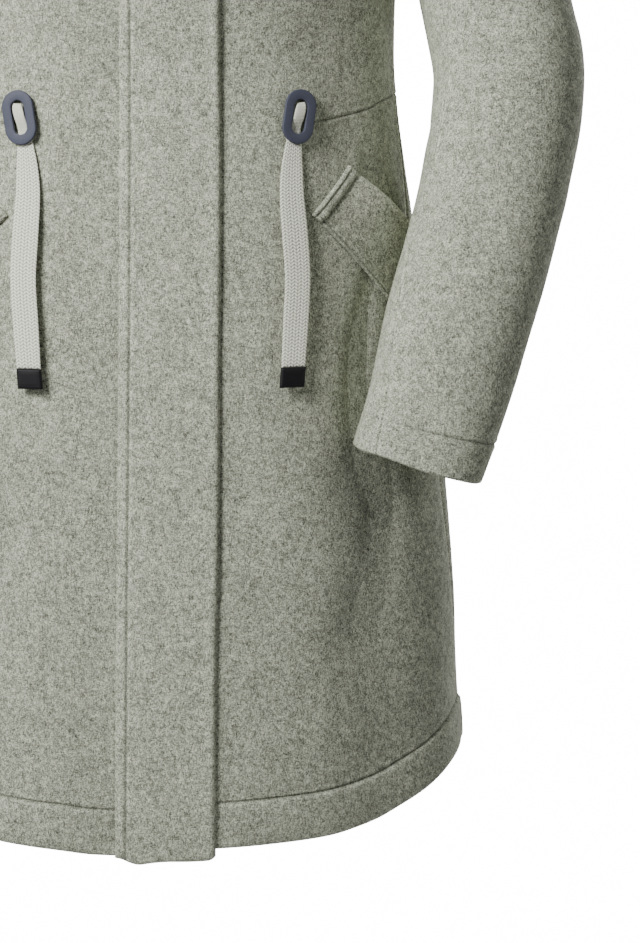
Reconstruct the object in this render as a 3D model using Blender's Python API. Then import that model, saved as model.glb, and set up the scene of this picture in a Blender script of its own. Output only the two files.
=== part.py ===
"""A hooded wool parka, worn open at neck, hem and cuffs, with hollow sleeves.

The front faces -Y, the wearer's left is +X and up is +Z. The origin lies midway between the two
points where the shoulder seams meet the neck. Lengths below are in millimetres and are scaled to
metres when a mesh is made.
"""

import math

import bmesh
import bpy
import numpy as np
from mathutils import Vector

MM = 0.001
CARRIER = "parka"

# Cloth
WALL = 2.6
SEAM_GAP = 0.3
HALF_GAP = SEAM_GAP / 2
LAY_GAP = 0.45
SEAM_DIP = 0.9
ROUNDNESS = 2.25
BODY_CENTRE_Y = 5.0

# Heights of the body, from the point where shoulder and neck meet
UNDERARM_Z = -236.0
WAIST_FRONT_Z = -405.0
WAIST_SIDE_Z = -393.0
HEM_FRONT_Z = -967.0
HEM_SIDE_RISE = 53.0
HEM_CURVE = 1.75
HEM_DEPTH = 37.0
HEM_SWELL = 3.4
HEM_ROUND = 4.0
HEM_STITCH_ROOM = 5.0
BAND_SIDE_TURN = 7.0

# Level, half width, front depth, back depth and how far the side seam leads the side, in degrees
LEVELS = {
    "z": (-1010.0, -907.0, -862.0, -792.0, -713.0, -600.0, -482.0, -406.0, -365.0, -300.0, -236.0),
    "half_width": (241.5, 238.4, 236.8, 234.6, 228.8, 214.0, 199.0, 188.3, 184.6, 185.5, 190.0),
    "front": (156.0, 152.0, 150.0, 146.5, 142.0, 133.5, 121.0, 113.5, 112.5, 118.0, 124.0),
    "back": (155.0, 150.0, 148.0, 144.0, 139.0, 129.0, 112.0, 100.0, 97.0, 103.0, 112.0),
    "seam_lead": (1.0, 2.0, 4.0, 8.0, 13.0, 15.0, 13.0, 10.0, 8.0, 5.0, 3.0),
}
UNDERARM_X = LEVELS["half_width"][-1]
UNDERARM_FRONT = LEVELS["front"][-1]
UNDERARM_BACK = LEVELS["back"][-1]

# Shoulders and neck
PEAK_Z = 26.0
SHOULDER_DROP = 71.0
SHOULDER_TIP_X = 205.0
NECK_X = 75.0
FRONT_NECK_RISE = 0.60
BACK_NECK_RISE = 0.86
FRONT_CLOSE = 0.75
BACK_CLOSE = 0.60
NECK_MIDDLE_Y = -14.0
NECK_TILT_CENTRE = 0.35
NECK_TILT_SIDE = 0.45
ARMHOLE_MIDDLE_Z = -140.0
TOP_NORMAL_RISE = 0.985

# The armhole, from underarm to shoulder tip: rise, turn from the front, turn from the back
ARMHOLE = {
    "rise": (0.0, 0.02, 0.06, 0.14, 0.28, 0.45, 0.62, 0.78, 0.90, 0.97, 1.0),
    "front": (87.0, 78.0, 69.0, 61.5, 57.5, 56.5, 58.5, 63.0, 70.0, 79.0, 90.0),
    "back": (93.0, 83.0, 74.0, 66.5, 62.0, 61.0, 62.5, 66.0, 72.0, 80.0, 90.0),
}

# Soft folds of the body: turn from the front, its half spread, top, foot and depth outward
FOLDS = {
    "turn": (46.0, 62.0, 24.0, -40.0, -60.0, -20.0, 118.0, 143.0, 165.0, -124.0, -150.0, -176.0),
    "spread": (11.0, 12.0, 14.0, 12.0, 13.0, 12.0, 13.0, 12.0, 11.0, 13.0, 12.0, 11.0),
    "top": (-560, -600, -640, -520, -580, -660, -520, -560, -480, -500, -540, -520),
    "foot": (-880, -960, -1010, -900, -980, -1010, -990, -1010, -1000, -990, -1010, -1010),
    "out": (-4.5, 4.0, 2.5, -4.0, 4.5, 3.0, 4.5, -5.0, 4.0, 4.0, -5.5, 4.5),
}

# Sleeve stations: centre, half width, half depth, and the turns of the two seams, in degrees
SLEEVE = {
    "x": (251.0, 265.0, 275.5, 265.0, 248.5, 230.5, 215.0, 199.0),
    "y": (-6.0, -28.0, -50.0, -70.0, -88.0, -106.0, -119.0, -129.0),
    "z": (-262.0, -320.0, -378.0, -452.0, -511.0, -570.0, -622.0, -667.0),
    "half_width": (58.0, 58.5, 59.5, 58.8, 58.0, 57.5, 56.0, 52.5),
    "half_depth": (62.0, 60.0, 57.0, 53.0, 49.0, 44.0, 39.0, 36.0),
    "front_seam": (44.0, 38.0, 33.0, 28.0, 27.0, 32.0, 44.0, 52.0),
    "back_seam": (62.0, 64.0, 66.0, 68.0, 70.0, 72.0, 74.0, 76.0),
}
CUFF_DIP = 11.0
CUFF_DIP_TOP_Z = -540.0
CUFF_DEPTH = 28.0
CUFF_STITCH = 26.3
CUFF_SWELL = 1.4
CAP_ROWS = 6
CAP_LEAVE = (14.0, 66.0)
CAP_ARRIVE = (32.0, 100.0)
CAP_SPREAD = 0.35
ARM_STEPS = 2
ARM_SEAM_DIP = 0.54

# The front band
BAND_TOP_Z = -84.0
BAND_FOOT_Z = -972.5
BAND_THICK = 4.6
BAND_EDGES = {
    "z": (-972.0, -785.0, -562.0, -372.0, -84.0),
    "left": (-37.5, -35.0, -31.5, -29.5, -29.0),
    "right": (39.5, 41.5, 44.5, 46.0, 46.0),
}
BAND_TABLE_FROM_LEFT = {
    "in": (0.0, 1.2, 4.0, 7.5, 11.0),
    "out": (1.6, 3.6, 4.6, 3.4, 4.4),
}
BAND_TABLE_FROM_RIGHT = {
    "in": (16.0, 4.0, 1.0, 0.0),
    "out": (4.6, 4.9, 3.9, 2.2),
}
BAND_END_OUT = 2.2
BAND_CORNER = (3.5, 0.9)

# The slanted pocket welt: its corners as turn from the front and height
WELT_TOP = (49.2, -441.5)
WELT_LOW = (32.5, -476.5)
WELT_UPPER_FOOT = (74.4, -510.0)
WELT_LOWER_FOOT = (74.4, -600.0)
WELT_EDGE = 1.4
WELT_ALONG = {
    "share": (0.0, 0.012, 0.03, 0.044, 0.058, 0.08, 0.094, 0.115, 0.22, 0.35, 0.48, 0.61, 0.74, 0.87, 1.0),
    "out": (WELT_EDGE, 3.9, 3.9, 2.8, 3.9, 3.7, 1.5, 2.6, 2.6, 2.6, 2.6, 2.6, 2.6, 2.6, 2.6),
}
WELT_ACROSS = {
    "share": (0.0, 0.03, 0.25, 0.5, 0.75, 0.97, 1.0),
    "out": (0.0, 0.0, 0.0, 0.0, 0.0, 0.3, 0.0),
}

# The eyelet ring
RING_X = 104.8
RING_Z = -400.0
RING_LENGTH = 42.0
RING_WIDTH = 24.0
RING_THICK = 3.0
RING_EDGE = 0.7
SLOT_LENGTH = 26.5
SLOT_WIDTH = 10.6
RING_LEAN = 8.5
RING_TOP_STAND = 0.9
RING_FOOT_STAND = 3.6
RING_ARC_STEPS = 6

# The flat waist cord, from the slot down to its end tab
CORD_STEP = 15.0
CORD_ROUND = 0.35
CORD = {
    "z": (-390.5, -400.0, -410.0, -421.0, -440.0, -460.0, -492.0, -524.0, -558.0, -591.5),
    "x": (106.2, 104.6, 103.0, 101.6, 100.0, 99.6, 101.2, 102.4, 101.2, 99.0),
    "width": (9.4, 9.6, 9.8, 13.0, 17.5, 19.6, 21.0, 20.8, 20.6, 19.2),
    "thick": (2.4, 2.4, 2.2, 2.2, 2.2, 2.2, 2.2, 2.2, 2.2, 2.2),
    "stand": (0.5, 0.5, 0.5, 0.5, 1.0, 2.0, 4.0, 5.5, 6.0, 6.5),
}
TAB = {
    "z": (-591.8, -592.7, -605.6, -606.8),
    "x": (99.0, 98.94, 98.03, 97.95),
    "width": (18.4, 19.4, 19.4, 18.0),
    "thick": (3.2, 4.2, 4.2, 2.8),
    "stand": (6.0, 5.5, 5.5, 6.2),
}

# The hood: ring height, half width, reach to the front and to the back, and the face edge's turn
HOOD = {
    "rise": (0.0, 0.12, 0.30, 0.50, 0.70, 0.85, 0.95, 1.0),
    "z": (-20.0, 22.0, 82.0, 150.0, 214.0, 260.0, 287.0, 296.0),
    "half_width": (78.0, 94.0, 109.0, 113.0, 102.0, 78.0, 45.0, 0.0),
    "front": (92.0, 118.0, 144.0, 156.0, 150.0, 134.0, 118.0, 110.0),
    "back": (56.0, 84.0, 112.0, 124.0, 121.0, 107.0, 92.0, 84.0),
    "face_turn": (38.0, 45.0, 51.0, 52.0, 47.0, 38.0, 23.0, 0.0),
}
HOOD_FRONT_DROP = 16.0
HOOD_BACK_DROP = 44.0
HOOD_REACH = 100.0
HOOD_BLEND_RISE = 0.36
HOOD_ROWS = 12
HOOD_ROW_POWER = 1.15
HOOD_EDGE_OUT = (-0.6, 0.8)

# Grid of the panels
HANDS = (("left", 1.0), ("right", -1.0))
SETTLE_ROUNDS = 6
SHARES = (0.0, 0.08, 0.165, 0.275, 0.385, 0.50, 0.61, 0.72, 0.83, 0.945, 1.0)
WAIST_SEAM_COLUMN = 5
FRONT_NECK_ROW = 4
BACK_NECK_ROW = 5
UPPER_ROWS = 4
LOWER_ROWS = 10
YOKE_ROWS = len(ARMHOLE["rise"]) - 1
FRONT_SEAM_ROW = 3
BACK_SEAM_ROW = 5
HOOD_START_ROW = 7

# Colours, as linear values
CLOTH_COLOUR = (0.318, 0.326, 0.270)
CLOTH_LIGHT = (0.345, 0.352, 0.296)
RING_COLOUR = (0.066, 0.076, 0.128)
CORD_COLOUR = (0.485, 0.485, 0.440)
TAB_COLOUR = (0.010, 0.009, 0.011)


def clear_scene():
    """Empties the scene and leaves one empty at the origin that carries every piece."""
    for item in list(bpy.data.objects):
        bpy.data.objects.remove(item, do_unlink=True)
    carrier = bpy.data.objects.new(CARRIER, None)
    bpy.context.scene.collection.objects.link(carrier)


def make_material(name, colour, roughness, metallic=0.0):
    material = bpy.data.materials.new(name)
    material.use_nodes = True
    shader = material.node_tree.nodes["Principled BSDF"]
    shader.inputs["Base Color"].default_value = (*colour, 1.0)
    shader.inputs["Roughness"].default_value = roughness
    shader.inputs["Metallic"].default_value = metallic
    return material


def unit(vector):
    vector = np.asarray(vector, float)
    return vector / np.linalg.norm(vector)


def read(table, key, column, at):
    """Smooth value of a table's column at a place along its key column, rising or falling."""
    keys = table[key]
    values = table[column]
    if keys[0] > keys[-1]:
        keys = keys[::-1]
        values = values[::-1]
    at = min(max(at, keys[0]), keys[-1])
    cell = 0
    while cell < len(keys) - 2 and at > keys[cell + 1]:
        cell += 1

    def slope(place):
        low = max(place - 1, 0)
        high = min(place + 1, len(keys) - 1)
        return (values[high] - values[low]) / (keys[high] - keys[low])

    span = keys[cell + 1] - keys[cell]
    t = (at - keys[cell]) / span
    rise = values[cell + 1] - values[cell]
    start = slope(cell) * span
    end = slope(cell + 1) * span
    return values[cell] + start * t + (3 * rise - 2 * start - end) * t**2 + (start + end - 2 * rise) * t**3


def soft_power(value, power):
    return math.copysign(abs(value) ** power, value)


def ring_xy(turn, half_width, front, back):
    """A point of a rounded ring; turn 0 is the centre front, 90 the left side, 180 the back."""
    angle = math.radians(turn)
    across = soft_power(math.sin(angle), 2 / ROUNDNESS)
    along = soft_power(math.cos(angle), 2 / ROUNDNESS)
    reach = front if along > 0 else back
    return half_width * across, BODY_CENTRE_Y - reach * along


def fold_out(turn, z):
    """How far the soft folds push the cloth outward."""
    push = 0.0
    for fold in range(len(FOLDS["turn"])):
        away = abs((turn - FOLDS["turn"][fold] + 180.0) % 360.0 - 180.0) / FOLDS["spread"][fold]
        if away >= 2.0:
            continue
        down = (FOLDS["top"][fold] - z) / (FOLDS["top"][fold] - FOLDS["foot"][fold])
        down = min(max(down, 0.0), 1.0)
        swell = down * down * (3 - 2 * down)
        push += FOLDS["out"][fold] * swell * (0.5 + 0.5 * math.cos(math.pi * away / 2.0))
    return push


def skirt_point(turn, z):
    """The cloth's outer face from the underarm down."""
    sizes = [read(LEVELS, "z", name, z) for name in ("half_width", "front", "back")]
    x, y = ring_xy(turn, *sizes)
    outward = unit((x / sizes[0] ** 2, (y - BODY_CENTRE_Y) / sizes[1] ** 2))
    push = fold_out(turn, z)
    return np.array((x + outward[0] * push, y + outward[1] * push, z))


def yoke_half_width(rise):
    return UNDERARM_X + (SHOULDER_TIP_X - UNDERARM_X) * rise


def yoke_point(turn, rise):
    """The cloth's outer face from the underarm, rise 0, to the shoulder line, rise 1."""
    half_width = yoke_half_width(rise)
    room = max(1.0 - rise * rise, 0.0)
    front = UNDERARM_FRONT * room**FRONT_CLOSE
    back = UNDERARM_BACK * room**BACK_CLOSE
    x, y = ring_xy(turn, half_width, front, back)
    z = UNDERARM_Z + (PEAK_Z - UNDERARM_Z) * rise - SHOULDER_DROP * rise * rise * abs(x) / half_width
    return np.array((x, y, z))


def normal_of(surface, turn, level, turn_step=0.4, level_step=0.5):
    """The outward normal of a surface given by turn and level."""
    along_turn = surface(turn + turn_step, level) - surface(turn - turn_step, level)
    along_level = surface(turn, level + level_step) - surface(turn, level - level_step)
    return unit(np.cross(along_turn, along_level))


def hem_z(turn):
    """The hem's height, which rises towards the side seams in front and behind."""
    toward_side = min(abs(turn), 360.0 - abs(turn))
    toward_side = min(toward_side, 180.0 - toward_side)
    return HEM_FRONT_Z + HEM_SIDE_RISE * (toward_side / 90.0) ** HEM_CURVE


def waist_z(turn):
    toward_side = min(abs(turn) / 90.0, 1.0)
    return WAIST_FRONT_Z + (WAIST_SIDE_Z - WAIST_FRONT_Z) * toward_side


def skirt_rows(turn):
    """Heights of one column, hem to underarm, each with its outward offset."""
    hem = hem_z(turn)
    waist = waist_z(turn)
    swell = HEM_SWELL * min(max(abs(turn) / BAND_SIDE_TURN - 1.0, 0.0), 1.0)
    stitch = hem + HEM_DEPTH
    low = stitch + HEM_STITCH_ROOM
    rows = [(hem, 0.18 * swell), (hem + 0.3 * HEM_ROUND, 0.7 * swell), (hem + HEM_ROUND, swell)]
    rows += [(stitch - HEM_STITCH_ROOM - 1.0, 0.75 * swell), (stitch, -SEAM_DIP), (low, 0.0)]
    high = waist - HEM_STITCH_ROOM
    rows += [(low + (high - low) * step / LOWER_ROWS, 0.0) for step in range(1, LOWER_ROWS + 1)]
    low = waist + HEM_STITCH_ROOM
    rows += [(waist, -SEAM_DIP), (low, 0.0)]
    rows += [(low + (UNDERARM_Z - low) * step / UPPER_ROWS, 0.0) for step in range(1, UPPER_ROWS + 1)]
    return rows


HEM_ROWS = 6
WAIST_ROW = HEM_ROWS + LOWER_ROWS
UNDERARM_ROW = len(skirt_rows(0.0)) - 1


def seam_turn(z):
    return 90.0 - read(LEVELS, "z", "seam_lead", z)


def turn_at(share):
    """The turn at which the ring reaches a share of its half width."""
    return math.degrees(math.asin(min(share, 1.0) ** (ROUNDNESS / 2)))


def neck_mark(step, steps, neck_rise):
    """A neckline point as turn and rise: step 0 at the centre, the last where the shoulder starts."""
    angle = math.radians(90.0 * step / steps)
    rise = 1.0 - (1.0 - neck_rise) * math.cos(angle)
    return turn_at(NECK_X * math.sin(angle) / yoke_half_width(rise)), rise


def yoke_marks(armhole_turns, neck_rise, neck_row):
    """A grid of turn and rise between underarm line, centre and neckline, armhole and shoulder."""
    bottom_turn = armhole_turns[0]
    centre = [(0.0, neck_rise * row / neck_row) for row in range(neck_row)]
    centre += [neck_mark(step, YOKE_ROWS - neck_row, neck_rise) for step in range(YOKE_ROWS - neck_row + 1)]
    centre = np.array(centre)
    armhole = np.array([(armhole_turns[row], ARMHOLE["rise"][row]) for row in range(YOKE_ROWS + 1)])
    rows = []
    for row in range(YOKE_ROWS + 1):
        v = row / YOKE_ROWS
        line = []
        for u in SHARES:
            bottom = np.array((bottom_turn * u, 0.0))
            x = NECK_X + (SHOULDER_TIP_X - NECK_X) * u
            top = np.array((turn_at(x / SHOULDER_TIP_X), 1.0))
            sides = (1 - u) * centre[row] + u * armhole[row]
            corners = (1 - u) * v * centre[-1] + u * (1 - v) * armhole[0] + u * v * armhole[-1]
            line.append((1 - v) * bottom + v * top + sides - corners)
        rows.append(line)
    return rows


def armhole_normal(point):
    """At the armhole both walls end square to the seam, pointing away from the armhole's middle."""
    return unit((0.0, point[1], point[2] - ARMHOLE_MIDDLE_Z))


def neck_normal(point):
    """At the neckline the wall points outward and a little up."""
    away = unit((point[0], point[1] - NECK_MIDDLE_Y, 0.0))
    tilt = NECK_TILT_CENTRE + NECK_TILT_SIDE * abs(point[0]) / NECK_X
    return unit(away + np.array((0.0, 0.0, tilt)))


def half_body(back, hand):
    """Points, normals and outward offsets of one half panel, centre column first, hem row first."""
    neck_rise = BACK_NECK_RISE if back else FRONT_NECK_RISE
    neck_row = BACK_NECK_ROW if back else FRONT_NECK_ROW
    armhole = ARMHOLE["back"] if back else ARMHOLE["front"]
    columns = len(SHARES)

    def place(turn):
        return hand * (180.0 - turn if back else turn)

    points, normals, outs = [], [], []
    for row in range(UNDERARM_ROW + 1):
        for column, share in enumerate(SHARES):
            turn = place(90.0 * share)
            for _ in range(SETTLE_ROUNDS):
                edge = seam_turn(skirt_rows(turn)[row][0])
                turn = place((180.0 - edge if back else edge) * share)
            z, out = skirt_rows(turn)[row]
            if row == WAIST_ROW and not back and column < WAIST_SEAM_COLUMN:
                out = 0.0
            if column == columns - 1 and row > 2:
                out -= SEAM_DIP
            points.append(skirt_point(turn, z))
            normals.append(normal_of(skirt_point, turn, z))
            outs.append(out)
    marks = yoke_marks(armhole, neck_rise, neck_row)
    for row in range(1, YOKE_ROWS + 1):
        for turn, rise in marks[row]:
            points.append(yoke_point(place(turn), rise))
            normals.append(normal_of(yoke_point, place(turn), min(rise, TOP_NORMAL_RISE), 0.4, 0.004))
            outs.append(0.0)
    points = np.array(points).reshape(-1, columns, 3)
    normals = np.array(normals).reshape(-1, columns, 3)
    outs = np.array(outs).reshape(-1, columns)
    normals[-1] = unit((hand * SHOULDER_DROP / SHOULDER_TIP_X, 0.0, 1.0))
    for row in range(UNDERARM_ROW, len(points)):
        normals[row, -1] = armhole_normal(points[row, -1])
        outs[row, -1] = 0.0
    for row in range(UNDERARM_ROW + neck_row, len(points)):
        normals[row, 0] = neck_normal(points[row, 0])
    normals[-1, -1] = unit(armhole_normal(points[-1, -1]) + normals[-1, -2])
    return points, normals, outs


def across_seam(edge, normals, toward):
    """Directions square to a seam and along the cloth, on the side of the given directions."""
    across = np.cross(np.gradient(edge, axis=0), normals)
    across /= np.linalg.norm(across, axis=-1, keepdims=True)
    return across * np.sign(np.sum(across * toward, axis=-1, keepdims=True))


def pull_half(points, normals, neck_row, hand):
    """Pulls a half panel's edges back from the seams by half the gap."""
    moved = points.copy()
    seam = slice(0, UNDERARM_ROW + 1)
    across = across_seam(points[seam, -1], normals[seam, -1], points[seam, -2] - points[seam, -1])
    moved[seam, -1] += across * HALF_GAP
    moved[UNDERARM_ROW:, -1, 0] -= hand * HALF_GAP
    across = across_seam(points[-1], normals[-1], points[-2] - points[-1])
    moved[-1] += across * HALF_GAP
    neck = slice(UNDERARM_ROW + neck_row, None)
    across = across_seam(points[neck, 0], normals[neck, 0], points[neck, 1] - points[neck, 0])
    moved[neck, 0] += across * HALF_GAP
    return moved


def wall_mesh(name, points, normals, outs, thick, material, quads=None):
    """A closed wall: an outer skin of quads, an inner skin behind it and a rim round its edges."""
    if quads is None:
        rows, columns = points.shape[:2]
        quads = grid_quads(np.arange(rows * columns).reshape(rows, columns))
    points = points.reshape(-1, 3)
    normals = normals.reshape(-1, 3)
    outer = points + normals * outs.reshape(-1, 1)
    inner = points - normals * thick
    bm = bmesh.new()
    front = [bm.verts.new(point * MM) for point in outer]
    behind = [bm.verts.new(point * MM) for point in inner]
    edge_uses = {}
    for quad in quads:
        bm.faces.new([front[spot] for spot in quad])
        bm.faces.new([behind[spot] for spot in reversed(quad)])
        for start, end in zip(quad, quad[1:] + quad[:1]):
            edge_uses.setdefault(frozenset((start, end)), []).append((start, end))
    for uses in edge_uses.values():
        if len(uses) == 1:
            start, end = uses[0]
            bm.faces.new((front[end], front[start], behind[start], behind[end]))
    finish_mesh(name, bm, material)


def grid_quads(numbers):
    """Quads between neighbouring vertex numbers of a grid."""
    quads = []
    for row in range(numbers.shape[0] - 1):
        for column in range(numbers.shape[1] - 1):
            low, high = numbers[row], numbers[row + 1]
            quads.append([int(low[column]), int(low[column + 1]), int(high[column + 1]), int(high[column])])
    return quads


def finish_mesh(name, bm, material):
    """Makes the piece's object, with its origin at the middle of its own box."""
    bmesh.ops.recalc_face_normals(bm, faces=bm.faces)
    if bm.calc_volume(signed=True) < 0:
        bmesh.ops.reverse_faces(bm, faces=bm.faces)
    spots = np.array([vert.co for vert in bm.verts])
    middle = Vector((spots.min(axis=0) + spots.max(axis=0)) / 2)
    bmesh.ops.translate(bm, vec=-middle, verts=bm.verts)
    mesh = bpy.data.meshes.new(name)
    bm.to_mesh(mesh)
    bm.free()
    mesh.shade_smooth()
    mesh.set_sharp_from_angle(angle=math.radians(50))
    mesh.materials.append(material)
    made = bpy.data.objects.new(name, mesh)
    made.location = middle
    made.parent = bpy.data.objects[CARRIER]
    bpy.context.scene.collection.objects.link(made)


def mirrored(grid):
    """A grid of points or normals on the other side of the coat."""
    return grid * np.array((-1.0, 1.0, 1.0))


def build_fronts(cloth):
    for name, hand in HANDS:
        points, normals, outs = half_body(False, hand)
        pulled = pull_half(points, normals, FRONT_NECK_ROW, hand)
        pulled[: UNDERARM_ROW + FRONT_NECK_ROW + 1, 0, 0] = hand * HALF_GAP
        wall_mesh("front_" + name, pulled, normals, outs, WALL, cloth)
        if name == "left":
            left_points = points
    return left_points


def build_back(cloth):
    """One piece: both halves share the centre column up to the neck."""
    shared = UNDERARM_ROW + BACK_NECK_ROW + 1
    halves = []
    for name, hand in HANDS:
        points, normals, outs = half_body(True, hand)
        pulled = pull_half(points, normals, BACK_NECK_ROW, hand)
        pulled[:shared, 0, 0] = 0.0
        normals[:shared, 0, 0] = 0.0
        halves.append((points, pulled.reshape(-1, 3), normals.reshape(-1, 3), outs.reshape(-1)))
    rows, columns = halves[0][0].shape[:2]
    left = np.arange(rows * columns).reshape(rows, columns)
    right = left + rows * columns
    right[:shared, 0] = left[:shared, 0]
    quads = grid_quads(left) + [quad[::-1] for quad in grid_quads(right)]
    used = sorted({spot for quad in quads for spot in quad})
    number = {spot: place for place, spot in enumerate(used)}
    quads = [[number[spot] for spot in quad] for quad in quads]
    whole, faces, raised = (np.concatenate((halves[0][part], halves[1][part]))[used] for part in (1, 2, 3))
    wall_mesh("back", whole, faces, raised, WALL, cloth, quads)
    return halves[0][0]


def sleeve_centre(z):
    return np.array((read(SLEEVE, "z", "x", z), read(SLEEVE, "z", "y", z), z))


def sleeve_frame(z):
    """Axis down the arm, direction away from the body and direction to the front."""
    axis = unit(sleeve_centre(z - 4.0) - sleeve_centre(z + 4.0))
    side = np.array((1.0, 0.0, 0.0))
    side = unit(side - axis * (side @ axis))
    front = np.array((0.0, -1.0, 0.0))
    front = unit(front - axis * (front @ axis) - side * (front @ side))
    return axis, side, front


def sleeve_point(z, turn):
    """A point of the sleeve below its cap; turn 0 faces the body and 90 the front."""
    axis, side, front = sleeve_frame(z)
    angle = math.radians(turn)
    across = -math.cos(angle) * read(SLEEVE, "z", "half_width", z)
    along = math.sin(angle) * read(SLEEVE, "z", "half_depth", z)
    near_cuff = min(max((CUFF_DIP_TOP_Z - z) / (CUFF_DIP_TOP_Z - SLEEVE["z"][-1]), 0.0), 1.0)
    dip = CUFF_DIP * near_cuff * near_cuff * math.sin(angle)
    return sleeve_centre(z) + side * across + front * along + axis * dip


def armhole_loop(front_points, back_points):
    """The armhole from the underarm up its front to the tip and down its back, closed."""
    front = [front_points[UNDERARM_ROW + step, -1] for step in range(YOKE_ROWS + 1)]
    back = [back_points[UNDERARM_ROW + step, -1] for step in range(YOKE_ROWS - 1, -1, -1)]
    return np.array(front + back)


def sleeve_turns(loop, z):
    """Turns of the sleeve's columns at one height, with the two seams where the table has them."""
    steps = np.linalg.norm(np.diff(loop, axis=0), axis=1)
    count = len(steps)
    length = np.concatenate(((0.0,), np.cumsum(steps)))
    front_seam = read(SLEEVE, "z", "front_seam", z)
    back_seam = 360.0 - read(SLEEVE, "z", "back_seam", z)
    marks_at = (length[0], length[FRONT_SEAM_ROW], length[count - BACK_SEAM_ROW], length[count])
    marks = (0.0, front_seam, back_seam, 360.0)
    return np.interp(length, marks_at, marks)


def sleeve_rows(loop):
    """Rows of the whole sleeve from the armhole to the cuff, with each row's outward offset."""
    first_z = SLEEVE["z"][0]
    cuff_z = SLEEVE["z"][-1]
    axis = sleeve_frame(first_z)[0]
    turns = sleeve_turns(loop, first_z)
    ring = np.array([sleeve_point(first_z, turn) for turn in turns])
    rows, outs = [], []
    for step in range(CAP_ROWS):
        t = step / CAP_ROWS
        row = []
        for spot, start in enumerate(loop):
            away = armhole_normal(start)
            height = (1.0 + away[2]) / 2.0
            leave = unit((1.0, CAP_SPREAD * away[1], CAP_SPREAD * away[2]))
            leave *= CAP_LEAVE[0] + CAP_LEAVE[1] * height
            arrive = axis * (CAP_ARRIVE[0] + CAP_ARRIVE[1] * height)
            point = (2 * t**3 - 3 * t**2 + 1) * start + (t**3 - 2 * t**2 + t) * leave
            row.append(point + (3 * t**2 - 2 * t**3) * ring[spot] + (t**3 - t**2) * arrive)
        rows.append(row)
        outs.append(0.0)
    top_of_hem = cuff_z + CUFF_DEPTH + 4.0
    steps = ARM_STEPS * (len(SLEEVE["z"]) - 2)
    heights = [(first_z + (top_of_hem - first_z) * step / steps, 0.0) for step in range(steps + 1)]
    heights += [(cuff_z + CUFF_STITCH, -SEAM_DIP), (cuff_z + CUFF_STITCH - 4.0, CUFF_SWELL)]
    heights += [(cuff_z + 3.2, CUFF_SWELL), (cuff_z + 1.0, CUFF_SWELL - 0.9), (cuff_z, 0.0)]
    for z, out in heights:
        rows.append([sleeve_point(z, turn) for turn in sleeve_turns(loop, z)])
        outs.append(out)
    return np.array(rows), np.array(outs)


def closed_normals(grid):
    """Outward normals of a tube whose last column repeats its first."""
    around = np.roll(grid[:, :-1], -1, axis=1) - np.roll(grid[:, :-1], 1, axis=1)
    along = np.gradient(grid[:, :-1], axis=0)
    normals = np.cross(around, along)
    normals /= np.linalg.norm(normals, axis=2, keepdims=True)
    return np.concatenate((normals, normals[:, :1]), axis=1)


def build_sleeves(cloth, loop):
    rows, row_outs = sleeve_rows(loop)
    normals = closed_normals(rows)
    middle = rows[CAP_ROWS, :-1].mean(axis=0)
    if np.sum((rows[CAP_ROWS, 0] - middle) * normals[CAP_ROWS, 0]) < 0:
        normals = -normals
    for spot in range(len(loop)):
        normals[0, spot] = armhole_normal(loop[spot])
    rows[0, :, 0] += HALF_GAP
    count = len(loop) - 1
    first = FRONT_SEAM_ROW
    last = count - BACK_SEAM_ROW
    under = list(range(last, count)) + list(range(0, first + 1))
    for part, columns in (("top", list(range(first, last + 1))), ("under", under)):
        points = rows[:, columns]
        faces = normals[:, columns]
        outs = np.repeat(row_outs[:, None], len(columns), axis=1)
        outs[1:-3, 0] -= ARM_SEAM_DIP
        outs[1:-3, -1] -= ARM_SEAM_DIP
        points = points.copy()
        for edge, near in ((0, 1), (-1, -2)):
            across = across_seam(points[:, edge], faces[:, edge], points[:, near] - points[:, edge])
            points[:, edge] += across * HALF_GAP
        wall_mesh("sleeve_left_" + part, points, faces, outs, WALL, cloth)
        wall_mesh("sleeve_right_" + part, mirrored(points), mirrored(faces), outs, WALL, cloth)


def hood_base(turn, rise):
    sizes = [read(HOOD, "rise", name, rise) for name in ("half_width", "front", "back")]
    x, y = ring_xy(turn, *sizes)
    reach = (y - BODY_CENTRE_Y) / HOOD_REACH
    drop = HOOD_FRONT_DROP if reach < 0 else HOOD_BACK_DROP
    z = read(HOOD, "rise", "z", rise) - drop * rise * rise * reach * reach
    return np.array((x, y, z))


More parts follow.
